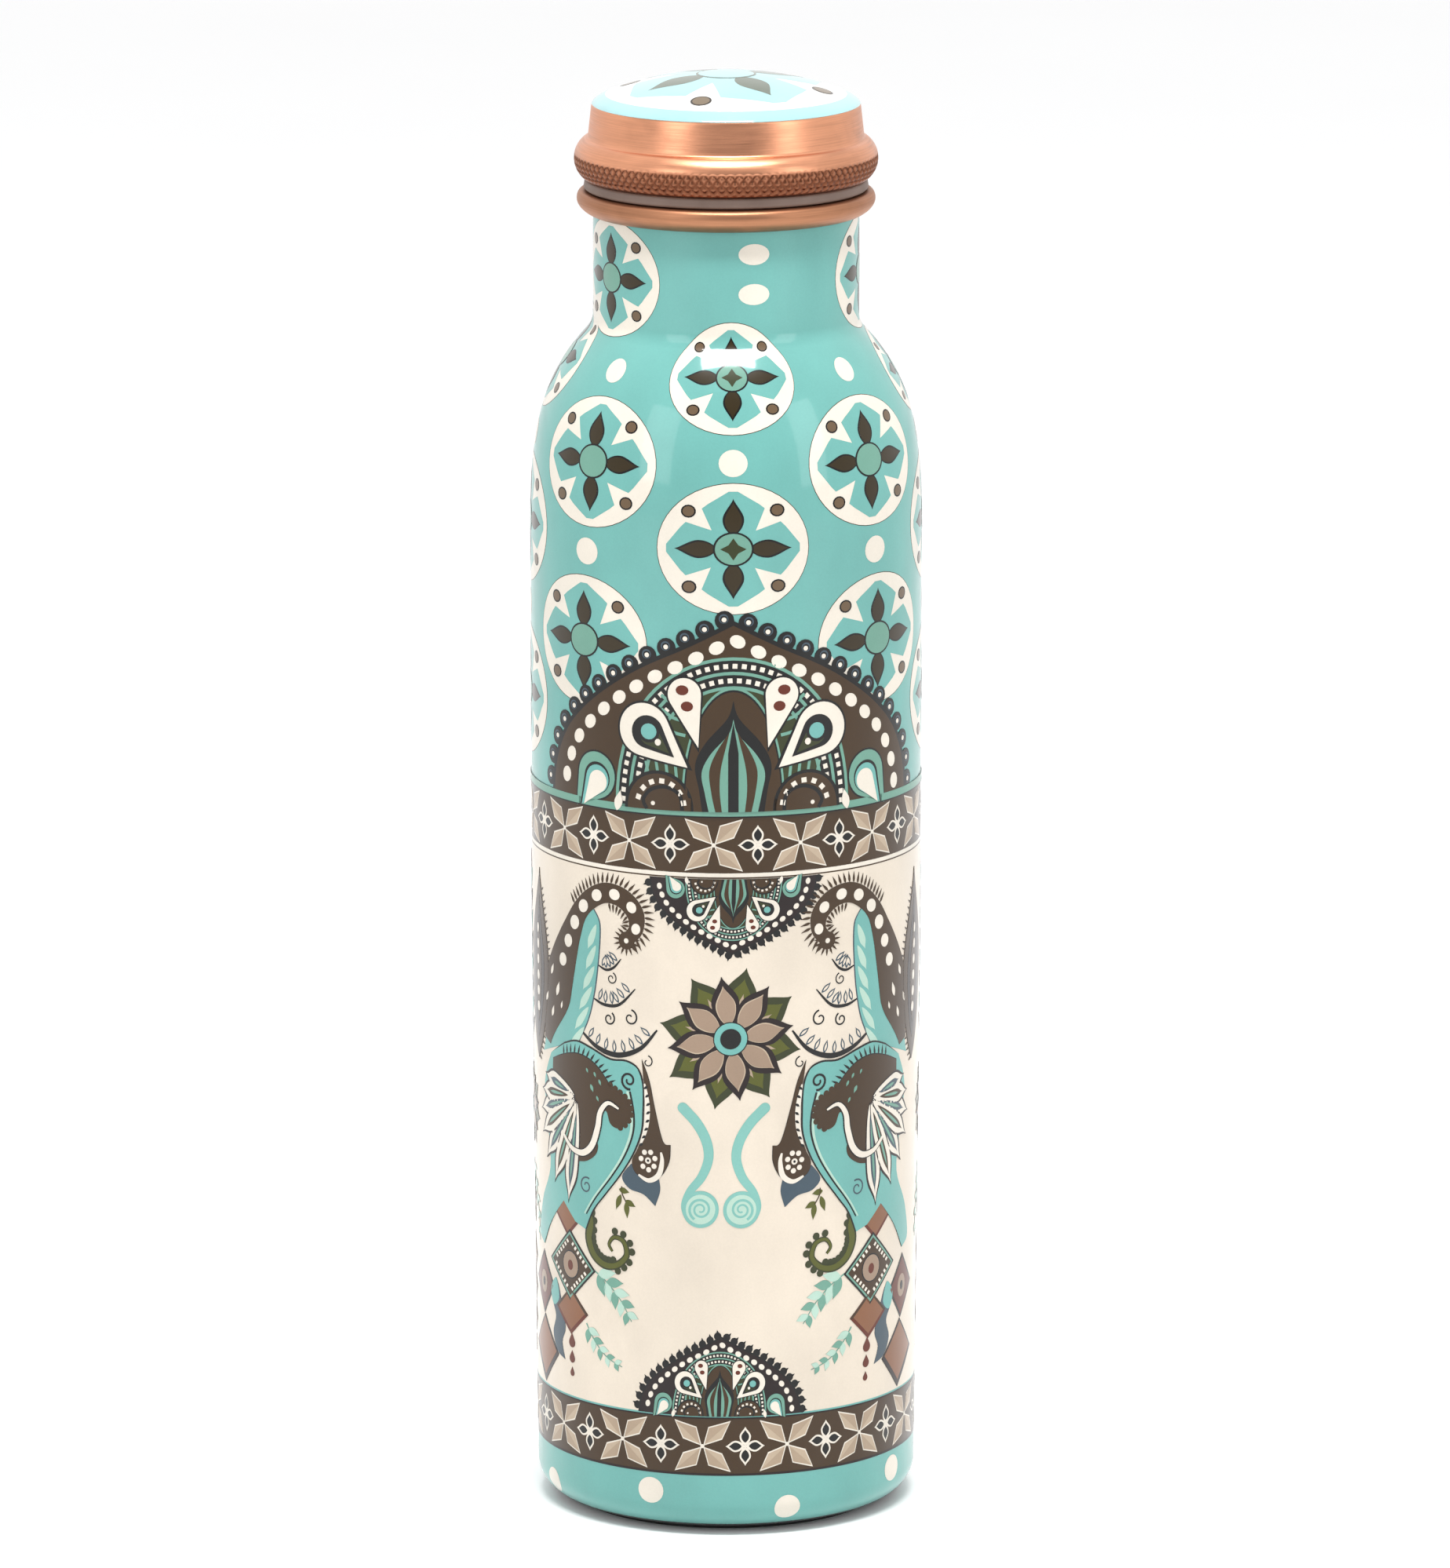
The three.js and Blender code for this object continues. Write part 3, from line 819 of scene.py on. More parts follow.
def bud(s):
    """The striped bud in the middle of the arch."""
    def bulb(tip, swell, foot):
        return spline([(0, tip), (0.5 * swell * 0.3, tip * 0.84), (0.72 * swell, tip * 0.62),
                       (swell, tip * 0.42), (0.9 * swell, tip * 0.2), (foot, 0)], 5)

    def closed(side):
        return side + [(-x, y) for x, y in reversed(side)][:-1]

    s.fill("dark", closed(bulb(20.9, 7.0, 5.7)), 13)
    s.fill("sage", closed(bulb(17.4, 5.8, 4.5)), 14)
    for half in s.mirrored():
        half.fill("brown", spline([(0.7, 15.0), (3.1, 11.2), (4.4, 7.6), (4.0, 3.4), (3.3, 0)], 5)
                  + spline([(2.1, 0), (2.5, 4), (2.3, 8), (1.4, 12)], 4), 15)
    s.fill("navy", [(-0.95, 0), (0.95, 0), (0.95, 11), (0, 16.8), (-0.95, 11)], 16)


def petal_cross(s):
    """A large flower of four kite petals, as the bands carry."""
    for across in (-1, 1):
        for up in (-1, 1):
            q = s.at(across=across, up=up)
            q.fill("cream", spline([(0.15, 0.1), (3.8, 1.35), (5.45, 5.0), (1.15, 3.75)], 3, True,
                                   (0, 1, 2, 3)), 1)
            q.fill("beige", [(0.45, 0.42), (3.68, 1.6), (5.15, 4.65), (1.28, 3.55)], 2)
            q.fill("sand", [(0.45, 0.42), (5.15, 4.65), (1.28, 3.55)], 3)
    s.fill("cream", ellipse(0, 0, 0.4, steps=10), 3)


def small_cross(s):
    """A small flower of four outlined petals."""
    for q in s.spun(4):
        q.fill("cream", leaf((0, 0.1), (0, 3.8), 2.2, 0.5), 1)
        q.fill("dark", leaf((0, 0.7), (0, 3.2), 1.5, 0.5), 2)
    s.fill("cream", ellipse(0, 0, 0.3, steps=10), 2)


FLOWERS = 14


def band(s, low, high, first):
    """A brown band of flowers all the way round."""
    half = math.pi * BODY_RADIUS
    s.fill("brown", box(-half, low, half, high), 1)
    middle = (low + high) / 2
    gap = 2 * half / FLOWERS
    for k in range(FLOWERS):
        across = first + k * gap
        across -= 2 * half * round(across / (2 * half))
        size = (high - low) / 10.7
        petal_cross(s.at(across, middle, size, size, raised=1))
        small_cross(s.at(across + gap / 2, middle, size, size, raised=1))


def daisy(s):
    """A flower of eight petals over eight leaves."""
    for q in s.spun(8, -11):
        q.fill("moss", leaf((0, 1.5), (0, 13.7), 6.2, 0.55), 1)
        q.fill("olive", leaf((0, 2.5), (0.1, 11.6), 4.1, 0.56), 2)
        q.fill("sand", leaf((0.3, 4.2), (0.5, 8.8), 0.8, 0.6), 3)
    for q in s.spun(8, 10):
        q.fill("umber", leaf((0, 1.5), (0, 12.0), 5.2, 0.52), 4)
        q.fill("beige", leaf((0, 2.4), (0, 10.2), 3.75, 0.5), 5)
        q.fill("fawn", leaf((0, 2.5), (0.1, 10.0), 3.4, 0.5), 6)
    s.fill("dark", ellipse(0, 0, 3.25, steps=30), 7)
    s.fill("aqua", ellipse(0, 0, 3.05, steps=30), 8)
    s.fill("dark", ellipse(0, 0, 1.95, steps=24), 10)


def scroll_ribbon(s):
    """One of the pair of ribbons that end in a coil."""
    coil = (3.85, 63.1)
    stem = spline([(7.7, 82.4), (5.0, 79.6), (3.1, 76.2), (2.6, 72.8), (3.8, 69.3), (5.9, 66.5), (6.9, 63.9),
                   (6.6, 62.0)], 5)
    s.fill("pale_aqua", ribbon(stem, 2.0, 1.1, 0.2), 2)
    s.fill("pale_aqua", ellipse(*coil, 3.45, 3.55, steps=36), 3)
    s.fill("pale_aqua", ellipse(*stem[0], 1.0, steps=16), 3)
    s.fill("mint", ellipse(*coil, 2.8, 2.85, steps=30), 4)
    s.fill("pale_aqua", ribbon(spiral(*coil, 2.2, 0.4, -60, 2.0, 60), 0.5, 0.3), 5)


def lashes(s, ink, points, gap, length, width, lean=0.0, layer=0, first=0.0):
    """Short pointed strokes along one side of a line."""
    for x, y, heading in spaced(points, gap, first):
        a = heading + math.pi / 2 + math.radians(lean)
        tip = (x + math.cos(a) * length, y + math.sin(a) * length)
        s.fill(ink, leaf((x, y), tip, width, 0.35, 3), layer)


def sprig(s, points, width, leaves):
    """A dark curved stem with a row of small outlined leaves above it."""
    stem = spline(points, 6)
    s.fill("dark", ribbon(stem, width * 0.5, width * 0.35, width * 0.7), 2)
    for x, y, heading in leaves_along(stem, leaves):
        tip = (x + math.cos(heading) * 2.9, y + math.sin(heading) * 2.9)
        base = (x + math.cos(heading) * 0.3, y + math.sin(heading) * 0.3)
        s.fill("slate", leaf(base, tip, 0.95, 0.5, 4), 1)
        inner = (base[0] + math.cos(heading) * 0.45, base[1] + math.sin(heading) * 0.45)
        s.fill("field", leaf(inner, (tip[0] - math.cos(heading) * 0.5, tip[1] - math.sin(heading) * 0.5),
                             0.45, 0.5, 3), 2)


def leaves_along(stem, count):
    length = sum(math.dist(a, b) for a, b in zip(stem, stem[1:]))
    gap = length / (count + 0.5)
    return [(x, y, heading + math.pi / 2) for x, y, heading in spaced(stem, gap, gap * 0.7)]


def curl(s, ink, x, y, radius, start, turns, width, layer=2):
    s.fill(ink, ribbon(spiral(x, y, radius, radius * 0.22, start, turns, 24), width, width * 0.8), layer)


def dotted_plume(s):
    """The tall brown plume: a curled head with dots and lashes, widening into its body."""
    middle = spline([(-43.5, 90.5), (-41.0, 97.0), (-38.6, 103.5), (-36.2, 109.0), (-34.0, 113.5),
                     (-31.8, 117.3), (-28.8, 120.1), (-25.2, 121.7), (-21.4, 121.1), (-18.8, 118.6),
                     (-18.6, 115.6), (-20.2, 113.6)], 5)
    count = len(middle)
    left_edge, right_edge = [], []
    for i, p in enumerate(middle):
        t = i / (count - 1)
        way = Vector(middle[min(i + 1, count - 1)]) - Vector(middle[max(i - 1, 0)])
        side = Vector((-way.y, way.x)).normalized()
        half = 1.9 + 3.9 * (1 - smoothstep(0.0, 0.5, t)) - 0.6 * smoothstep(0.75, 1, t)
        half *= 0.25 + 0.75 * smoothstep(0.0, 0.16, t)
        left_edge.append((p[0] + side.x * half, p[1] + side.y * half))
        right_edge.append((p[0] - side.x * half, p[1] - side.y * half))
    s.fill("brown", right_edge + left_edge[::-1], 2)
    s.fill("brown", ellipse(-20.6, 113.2, 1.7, steps=16), 3)
    first_lash = int(count * 0.46)
    lashes(s, "brown", left_edge[first_lash:], 1.0, 2.1, 0.5, -14, 1)
    lashes(s, "brown", right_edge[int(count * 0.62):][::-1], 0.95, 1.6, 0.45, 10, 1)
    for k in range(11):
        a = math.radians(150 + 24 * k)
        base = (-20.6 + 1.5 * math.cos(a), 113.2 + 1.5 * math.sin(a))
        s.fill("brown", leaf(base, (-20.6 + 2.9 * math.cos(a), 113.2 + 2.9 * math.sin(a)), 0.4, 0.35, 3), 1)
    s.fill("cream", ellipse(-20.6, 113.2, 0.5, steps=10), 4)
    for k, dot in enumerate(s.along(middle[::-1], 4.3, 2.6)[:8]):
        size = 1.05 + 0.07 * k if k < 6 else 1.3
        dot.fill("cream", ellipse(0, 0, size, size * 0.88, steps=16), 3)
    for x, y, turn, size in ((-38.9, 101.2, 70, 1.5), (-41.0, 104.6, 66, 1.2), (-40.9, 96.6, 70, 1.2),
                             (-43.3, 99.0, 64, 1.1), (-37.6, 98.4, 74, 0.8)):
        s.at(x, y, turn=turn).fill("cream", leaf((-size, 0), (size, 0), size * 0.7), 3)


def rippled_strip(s):
    """The aqua strip beside the plume, with paler ripples."""
    outer = spline([(-28.0, 118.2), (-26.6, 116.0), (-26.5, 112.4), (-27.1, 107.0), (-28.0, 102.0),
                    (-29.5, 97.1), (-32.2, 92.4)], 5)
    inner = spline([(-45.6, 88.0), (-43.0, 93.6), (-39.0, 98.6), (-35.6, 103.6), (-33.4, 108.6),
                    (-32.0, 113.6), (-31.0, 118.0)], 5)
    s.fill("slate", outer + inner, 1)
    s.fill("aqua", [(x - 0.28, y) for x, y in outer] + inner, 2)
    for k in range(6):
        y = 115.4 - 4.0 * k
        x = -27.5 - 0.13 * k * k
        s.fill("mint", leaf((x, y), (x - 2.2 - 0.45 * k, y - 5.0), 1.5, 0.6), 3)


def aqua_leaf(s):
    """The large aqua leaf in the middle of the side ornament, with its hairlines."""
    right = spline([(-36.8, 91.4), (-33.0, 92.5), (-29.0, 91.8), (-24.4, 90.4), (-20.8, 90.5), (-18.3, 89.3),
                    (-17.1, 86.2), (-17.1, 81), (-17.5, 77), (-19.3, 72.6), (-22.2, 68.2), (-25.8, 63.9),
                    (-28.6, 60.6), (-30.6, 56.6)], 5)
    left = spline([(-33.8, 57.5), (-37.6, 60.8), (-42.6, 55.8), (-46.4, 50.6), (-49.0, 52.6),
                   (-47.0, 59.0), (-42.8, 66), (-43.6, 74), (-45.0, 82), (-41.8, 88.4)], 5, corners=(1, 3))
    s.fill("dark", right + left, 1)
    s.fill("aqua", [(x - 0.33 if y < 89 else x, y - 0.33 if y >= 89 else y) for x, y in right] + left, 2)
    inside = spline([(-20.0, 84.6), (-19.2, 80.5), (-19.4, 76.6), (-21.2, 72.2), (-24.2, 67.8),
                     (-28.2, 63.0), (-30.6, 59.6)], 5)
    s.fill("dark", ribbon(inside, 0.42, 0.25), 4)
    s.fill("mint", ribbon([(x - 0.5, y) for x, y in inside], 0.6, 0.3), 3)
    curl(s, "dark", -20.2, 86.7, 1.75, -80, -1.35, 0.45, 4)
    curl(s, "slate", -30.6, 65.0, 1.7, 60, 1.3, 0.32, 4)


def plumed_lobe(s):
    """The brown lobe that lies on the aqua leaf, with lashes, a feather fan and a cream swoosh."""
    top = spline([(-41.0, 87.4), (-37.0, 89.0), (-33.0, 89.9), (-29.5, 89.4), (-26.8, 87.8),
                  (-24.6, 85.4)], 5)
    front = [(-22.4, 84.3), (-20.4, 82.9), (-19.7, 80.6), (-20.7, 78.4), (-22.6, 77.2)]
    back = [(-24.4, 77.9), (-25.4, 80.2), (-27.0, 78.4), (-28.2, 75.6), (-27.4, 73.2), (-28.2, 71.2),
            (-31.0, 69.6), (-34.6, 69.7), (-37.6, 72.4), (-41.6, 78.0)]
    rest = spline([top[-1]] + front + back, 4)[1:]
    s.fill("dark", [(x, y + 0.2) for x, y in top] + rest, 4)
    s.fill("brown", top + rest, 5)
    lashes(s, "dark", top[5:], 1.15, 1.9, 0.45, -16, 4)
    for x, y, heading in spaced(spline([top[-1]] + front, 5), 1.25, 0.3):
        s.fill("brown", ellipse(x, y, 0.62, steps=10), 5)
    for x, y, size in ((-26.8, 85.4, 0.55), (-28.8, 84.0, 0.7), (-28.0, 86.7, 0.5), (-30.0, 87.2, 0.45),
                       (-27.4, 82.2, 0.5)):
        s.fill("sage", leaf((x - size * 0.5, y + size), (x + size * 0.5, y - size), size), 6)
    for k in range(7):
        feather = s.at(-32.6, 81.6, turn=78 + 15.5 * k)
        length = 11.5 + 1.5 * k
        feather.fill("umber", leaf((0, 0.8), (0, length + 0.7), 4.2, 0.66), 6 + k % 2)
        feather.fill("cream", leaf((0, 1.2), (0, length), 3.5, 0.66), 7 + k % 2)
        feather.fill("brown" if k % 2 else "slate", leaf((0, 3.0), (0, length - 1.8), 1.5, 0.68), 8 + k % 2)
        feather.fill("sage", leaf((0, 4.4), (0, length - 3.4), 0.55, 0.68), 9 + k % 2)
    swoosh = spline([(-37.0, 73.6), (-34.6, 71.6), (-31.4, 71.2), (-28.9, 73.0), (-27.4, 76.6),
                     (-26.7, 79.8), (-24.8, 81.8), (-22.4, 81.0)], 5)
    s.fill("dark", ribbon(swoosh, 0.9, 0.7, 0.9), 10)
    s.fill("cream", ribbon(swoosh, 0.6, 0.35, 0.8), 11)


def seeded_drop(s):
    """The slim brown drop with a cluster of seeds, and the slate tip behind it."""
    tip = spline([(-19.9, 70.8), (-21.9, 68.1), (-20.3, 66.0), (-17.3, 65.2), (-14.9, 63.2), (-13.9, 66.4),
                  (-14.4, 69.4)], 5, corners=(4,))
    s.fill("slate", tip, 3)
    right = spline([(-17.5, 91.0), (-16.0, 87.2), (-14.9, 82), (-13.7, 76.9), (-12.9, 75.2), (-11.8, 75.1),
                    (-12.1, 71.8), (-13.9, 68.8), (-16.6, 67.9)], 5, corners=(5,))
    left = spline([(-16.6, 67.9), (-19.0, 69.2), (-19.7, 71.4), (-18.4, 74.0), (-17.0, 78.4),
                   (-16.5, 83.2), (-17.2, 87.6)], 5)
    s.fill("dark", right + left[1:], 4)
    s.fill("brown", [(x * 0.985 - 0.26, y * 0.985 + 1.15) for x, y in right + left[1:]], 5)
    edge = spline([(-17.0, 86.4), (-16.4, 82.4), (-16.7, 78.2), (-17.9, 74.6)], 6)
    s.fill("cream", ribbon(edge, 0.4, 0.3, 0.7), 6)
    for x, y, heading in spaced(edge, 1.6, 0.8):
        s.fill("dark", leaf((x + 0.55, y + 0.35), (x - 0.3, y - 0.25), 0.5), 7)
    s.fill("cream", ribbon(spline([(-18.3, 68.9), (-16.2, 68.0), (-14.2, 69.2), (-13.5, 71.8),
                                   (-13.7, 73.6)], 5), 0.35, 0.3, 0.7), 6)
    seeds = [(0, 0, 0.62)] + [(1.45 * math.cos(a), 1.75 * math.sin(a), 0.52)
                              for a in (FULL_TURN * k / 7 + 0.3 for k in range(7))]
    for x, y, size in seeds:
        s.fill("cream", ellipse(-16.3 + x, 71.8 + y, size, steps=10), 6)
    s.fill("dark", ellipse(-16.3, 71.8, 0.26, steps=8), 7)


def leafy_scroll(s):
    """The olive scroll with a lobed edge, its small leaves and the two ferns below it."""
    stem = spline([(-30.8, 61.2), (-29.6, 58.2), (-30.0, 55.0), (-28.8, 52.2), (-26.2, 50.6),
                   (-23.2, 50.9), (-21.0, 53.0), (-21.6, 55.6), (-23.7, 56.2), (-25.0, 54.7),
                   (-24.2, 53.4)], 5)
    s.fill("moss", ribbon(stem, 2.6, 0.5), 4)
    s.fill("olive", ribbon(stem, 1.6, 0.3), 5)
    for side, heading_turn in ((stem[:26], 90), (stem[24:42], -90)):
        for x, y, heading in spaced(side, 1.35, 0.4):
            a = heading + math.radians(heading_turn)
            s.fill("moss", ellipse(x + math.cos(a) * 1.1, y + math.sin(a) * 1.1, 0.72, steps=10), 4)
    for base, tip in (((-22.6, 65.6), (-20.3, 65.2)), ((-22.2, 64.6), (-23.3, 61.6)),
                      ((-21.2, 63.6), (-19.0, 62.6)), ((-21.0, 63.4), (-20.8, 60.2))):
        s.fill("olive", leaf(base, tip, 1.15), 3)
    s.fill("brown", ribbon(spline([(-22.0, 66.2), (-21.9, 64.8), (-21.0, 63.2)], 4), 0.22), 3)
    fern(s, [(-28.8, 49.0), (-25.6, 47.2), (-22.4, 44.2), (-20.0, 40.4)], 5, 4.4, 2.1)
    fern(s, [(-31.0, 38.4), (-28.8, 35.4), (-25.8, 32.8), (-22.2, 31.4)], 5, 3.0, 1.5)


def fern(s, points, pairs, length, width):
    stem = spline(points, 6)
    s.fill("sage", ribbon(stem, 0.3, 0.15), 2)
    whole = sum(math.dist(a, b) for a, b in zip(stem, stem[1:]))
    gap = whole / (pairs + 0.3)
    for k, (x, y, heading) in enumerate(spaced(stem, gap, gap * 0.5)):
        size = length * (1 - 0.1 * k)
        for turn in (38, -42):
            a = heading + math.radians(turn)
            ink = "mint" if (k + (turn > 0)) % 2 else "sage"
            s.fill(ink, leaf((x, y), (x + math.cos(a) * size, y + math.sin(a) * size),
                             width * (1 - 0.08 * k)), 3)


def diamond(x, y, across, up):
    return [(x - across, y), (x, y - up), (x + across, y), (x, y + up)]


def diamond_chain(s):
    """The chain of brown diamonds, one with a ring in it, that ends in three beads."""
    for ink, x, y, across, up, layer in (
        ("russet", -36.4, 58.2, 4.3, 4.0, 4), ("copper_brown", -36.4, 58.5, 3.8, 3.5, 5),
        ("dark", -35.7, 48.8, 7.3, 6.9, 6), ("sage", -35.7, 48.8, 6.8, 6.4, 7),
        ("brown", -35.7, 48.8, 6.3, 5.9, 8), ("russet", -35.6, 40.0, 5.1, 4.6, 5),
        ("copper_brown", -35.6, 40.3, 4.5, 4.0, 6), ("umber", -46.6, 30.4, 6.4, 6.6, 4),
        ("copper_brown", -46.6, 30.8, 5.5, 5.6, 5), ("dark", -46.9, 43.2, 5.2, 6.2, 3),
        ("russet", -46.9, 43.2, 4.6, 5.5, 4),
    ):
        s.fill(ink, diamond(x, y, across, up), layer)
    corners = diamond(-35.7, 48.8, 5.5, 5.1)
    for a, b in zip(corners, corners[1:] + corners[:1]):
        for tile in s.along([a, b], 1.05, 0.9)[:-1]:
            tile.fill("cream", box(-0.26, -0.36, 0.26, 0.36), 9)
    s.fill("dark", ellipse(-35.5, 48.9, 2.6, 2.75, steps=24), 9)
    s.fill("fawn", ellipse(-35.5, 48.9, 2.35, 2.5, steps=24), 10)
    s.fill("russet", ellipse(-35.5, 48.8, 0.8, 1.0, steps=14), 11)
    s.fill("brown", ribbon(spline([(-40.4, 39.9), (-35.6, 44.2), (-30.8, 39.9)], 1), 0.5), 7)
    s.fill("fawn", ellipse(-46.9, 43.2, 1.7, 2.2, steps=18), 5)
    s.fill("dark", ellipse(-46.9, 43.2, 0.6, 0.9, steps=12), 6)
    blue = spline([(-40.6, 44.6), (-42.6, 41.0), (-41.2, 37.8), (-42.4, 34.4), (-40.8, 31.2),
                   (-37.8, 30.0), (-38.8, 33.2), (-37.6, 36.0), (-38.4, 39.4)], 5, True, (5,))
    s.fill("slate", blue, 3)
    s.fill("aqua", spline([(-41.0, 45.2), (-43.2, 42.6), (-42.0, 39.8), (-39.8, 41.6)], 5, True), 4)
    for y, size in ((33.8, 0.98), (30.7, 0.84), (27.9, 0.62)):
        s.fill("russet", drop((-35.4, y + size * 1.9), (-35.4, y), size, 12), 3)


def side_leaf(s):
    """The tall brown leaf with lashes beside the plume, and the small column at the very side."""
    outline = leaf((-48.6, 86.0), (-47.4, 122.6), 10.4, 0.5, 12)
    s.fill("brown", outline, 3)
    s.fill("umber", leaf((-48.4, 90.0), (-47.5, 117.5), 6.2, 0.5, 10), 4)
    s.fill("brown", leaf((-48.3, 93.0), (-47.7, 113.5), 3.4, 0.5, 8), 5)
    lashes(s, "brown", outline[:len(outline) // 2][::-1], 1.25, 1.3, 0.36, 14, 2, 3.0)
    for k in range(6):
        s.fill("cream", ellipse(-48.15, 96 + 3.0 * k, 0.75 - 0.05 * k, 0.95, steps=12), 6)


def side_column(s):
    """What stands between two panels: a slender plant, a flower and a chain of diamonds."""
    s.fill("moss", ribbon([(0, 84 + 2 * k) for k in range(19)], 0.45, 0.25), 2)
    for k in range(8):
        for side in (-1, 1):
            tip = (side * (4.4 - 0.3 * k), 93.0 + 4.0 * k)
            s.fill("aqua" if k % 2 else "slate", leaf((0, 88.6 + 4.0 * k), tip, 1.7 - 0.08 * k), 3)
    s.fill("russet", drop((0, 124.2), (0, 121.4), 0.9, 12), 3)
    daisy(s.at(0, 75.5, 0.62, 0.62, raised=1))
    for half in s.mirrored():
        fern(half, [(0.4, 64.5), (3.6, 61.4), (6.6, 56.0), (7.4, 50.4)], 5, 3.0, 1.4)
        curl(half, "dark", -2.6, 58.2, 1.7, 100, -1.4, 0.36)
    s.fill("brown", drop((0, 64.5), (0, 54.6), 2.5), 3)
    s.fill("cream", drop((0, 61.0), (0, 54.6), 1.5), 4)
    s.fill("aqua", ellipse(0, 54.4, 0.7, 0.8, steps=12), 5)
    for k in range(3):
        size = 3.6 - 0.5 * k
        s.fill("umber", diamond(0, 46.6 - 6.2 * k, size + 0.5, size + 0.6), 3)
        s.fill("russet" if k % 2 else "copper_brown", diamond(0, 46.6 - 6.2 * k, size, size), 4)
        s.fill("cream", diamond(0, 46.6 - 6.2 * k, 1.2, 1.3), 5)
    s.fill("russet", drop((0, 30.4), (0, 28), 0.9, 12), 3)


def side_ornament(s):
    rippled_strip(s)
    dotted_plume(s.at(raised=3))
    side_leaf(s.at(raised=3))
    aqua_leaf(s.at(raised=6))
    plumed_lobe(s.at(raised=6))
    seeded_drop(s)
    leafy_scroll(s)
    diamond_chain(s)
    sprig(s, [(-27.0, 107.7), (-25.2, 107.1), (-23.4, 107.8), (-21.8, 109.6)], 0.45, 5)
    curl(s, "dark", -24.0, 105.6, 1.2, 70, -1.2, 0.24)
    sprig(s, [(-28.2, 101.2), (-25.6, 100.4), (-22.2, 100.9), (-18.8, 104.2)], 0.55, 6)
    curl(s, "dark", -24.6, 97.9, 1.35, 60, -1.25, 0.32)
    curl(s, "dark", -19.9, 98.6, 1.6, 80, -1.1, 0.32)
    sprig(s, [(-31.2, 94.2), (-27.4, 92.0), (-22.6, 91.2), (-17.8, 93.0), (-14.4, 96.8)], 0.9, 8)
    curl(s, "dark", -16.4, 90.6, 1.2, 80, -0.9, 0.24)


# ---- The whole print ----------------------------------------------------------------------------------
PRINT_TURN = math.radians(2.1) * BODY_RADIUS  # the print's middle stands this far from the very front
COLUMN = math.radians(45) * BODY_RADIUS
ROW = 32.2
MEDALLION = (14.2, 12.1)
FOOT_BAND = (12.3, 22.9)
WAIST_BAND = (127.0, 137.6)
FIELD = (23.5, 126.3)  # the cream field between the two bands
ARCH_FOOT = 138.6
FRONT_ROW = (187.7, 187.4 + ROW)  # the heights of the medallions in the front and side columns
BETWEEN_ROW = (168.7, 170 + ROW)
CAP_PRINT_RADIUS = 22.35
LEAN = 0.028  # the field's motifs slip sideways a little towards the foot


def onto_round(across):
    """The same place, less than half a turn from the front."""
    whole = FULL_TURN * BODY_RADIUS
    return across - whole * round(across / whole)


def round_by(degrees):
    """The place so many degrees round from the very front."""
    return onto_round(math.radians(degrees) * BODY_RADIUS)


def medallion_rows(s):
    """Staggered columns of medallions with dots between; those beside an arch spread towards the foot."""
    for k in range(8):
        even = k % 2 == 0
        middle = PRINT_TURN + math.pi * BODY_RADIUS * round(k / 4 + 0.01)
        heights = list(FRONT_ROW if even else BETWEEN_ROW)
        if k % 4 == 2:
            heights.append(187.4 - ROW)
        dots = [203.5] if even else [185.4, 219.6]
        if k % 4 == 2:
            dots.append(171.3)

        def across(up):
            if even:
                return onto_round(PRINT_TURN + COLUMN * k)
            side = 1 if k % 4 == 1 else -1
            spread = math.radians(45.7 + 2.3 * (169.5 + ROW - min(up, 201.7)) / ROW)
            return onto_round(middle + side * spread * BODY_RADIUS)

        for up in heights:
            crowded = up > 210 and k in (2, 4)
            half_height = 9.0 if crowded else 10.9 if up > 210 else MEDALLION[1]
            half_width = 11.6 if crowded else MEDALLION[0]
            medallion(s.at(across(up), up - 3.2 * crowded), half_width, half_height, star=k % 4 == 0)
        for up in dots:
            s.at(across(up), up).fill("cream", ellipse(0, 0, 2.75, 2.5, steps=24), 2)


def neck_print(s):
    """Medallions and pairs of dots round the neck."""
    neck_scale = BODY_RADIUS / NECK_RADIUS
    for degrees in (-59, 84, 192):
        medallion(s.at(round_by(degrees), 237.0), 12.6 * neck_scale, 10.9)
    for degrees in (12, 138, 246):
        for up in (235.7, 243.1):
            s.at(round_by(degrees), up).fill("cream", ellipse(0, 0, 2.9 * neck_scale, 1.95, steps=24), 2)


def foot_dots(s):
    """Dots round the foot, high and low by turns; the last stands on the first one's other side."""
    for k in range(8):
        degrees = -25.4 + (42.2 * k if k < 7 else -42.8)
        up = 8.4 if k % 2 == 0 else 5.2
        across = onto_round(PRINT_TURN + math.radians(degrees) * BODY_RADIUS)
        s.at(across, up).fill("cream", ellipse(0, 0, 2.6, 2.5, steps=24), 2)


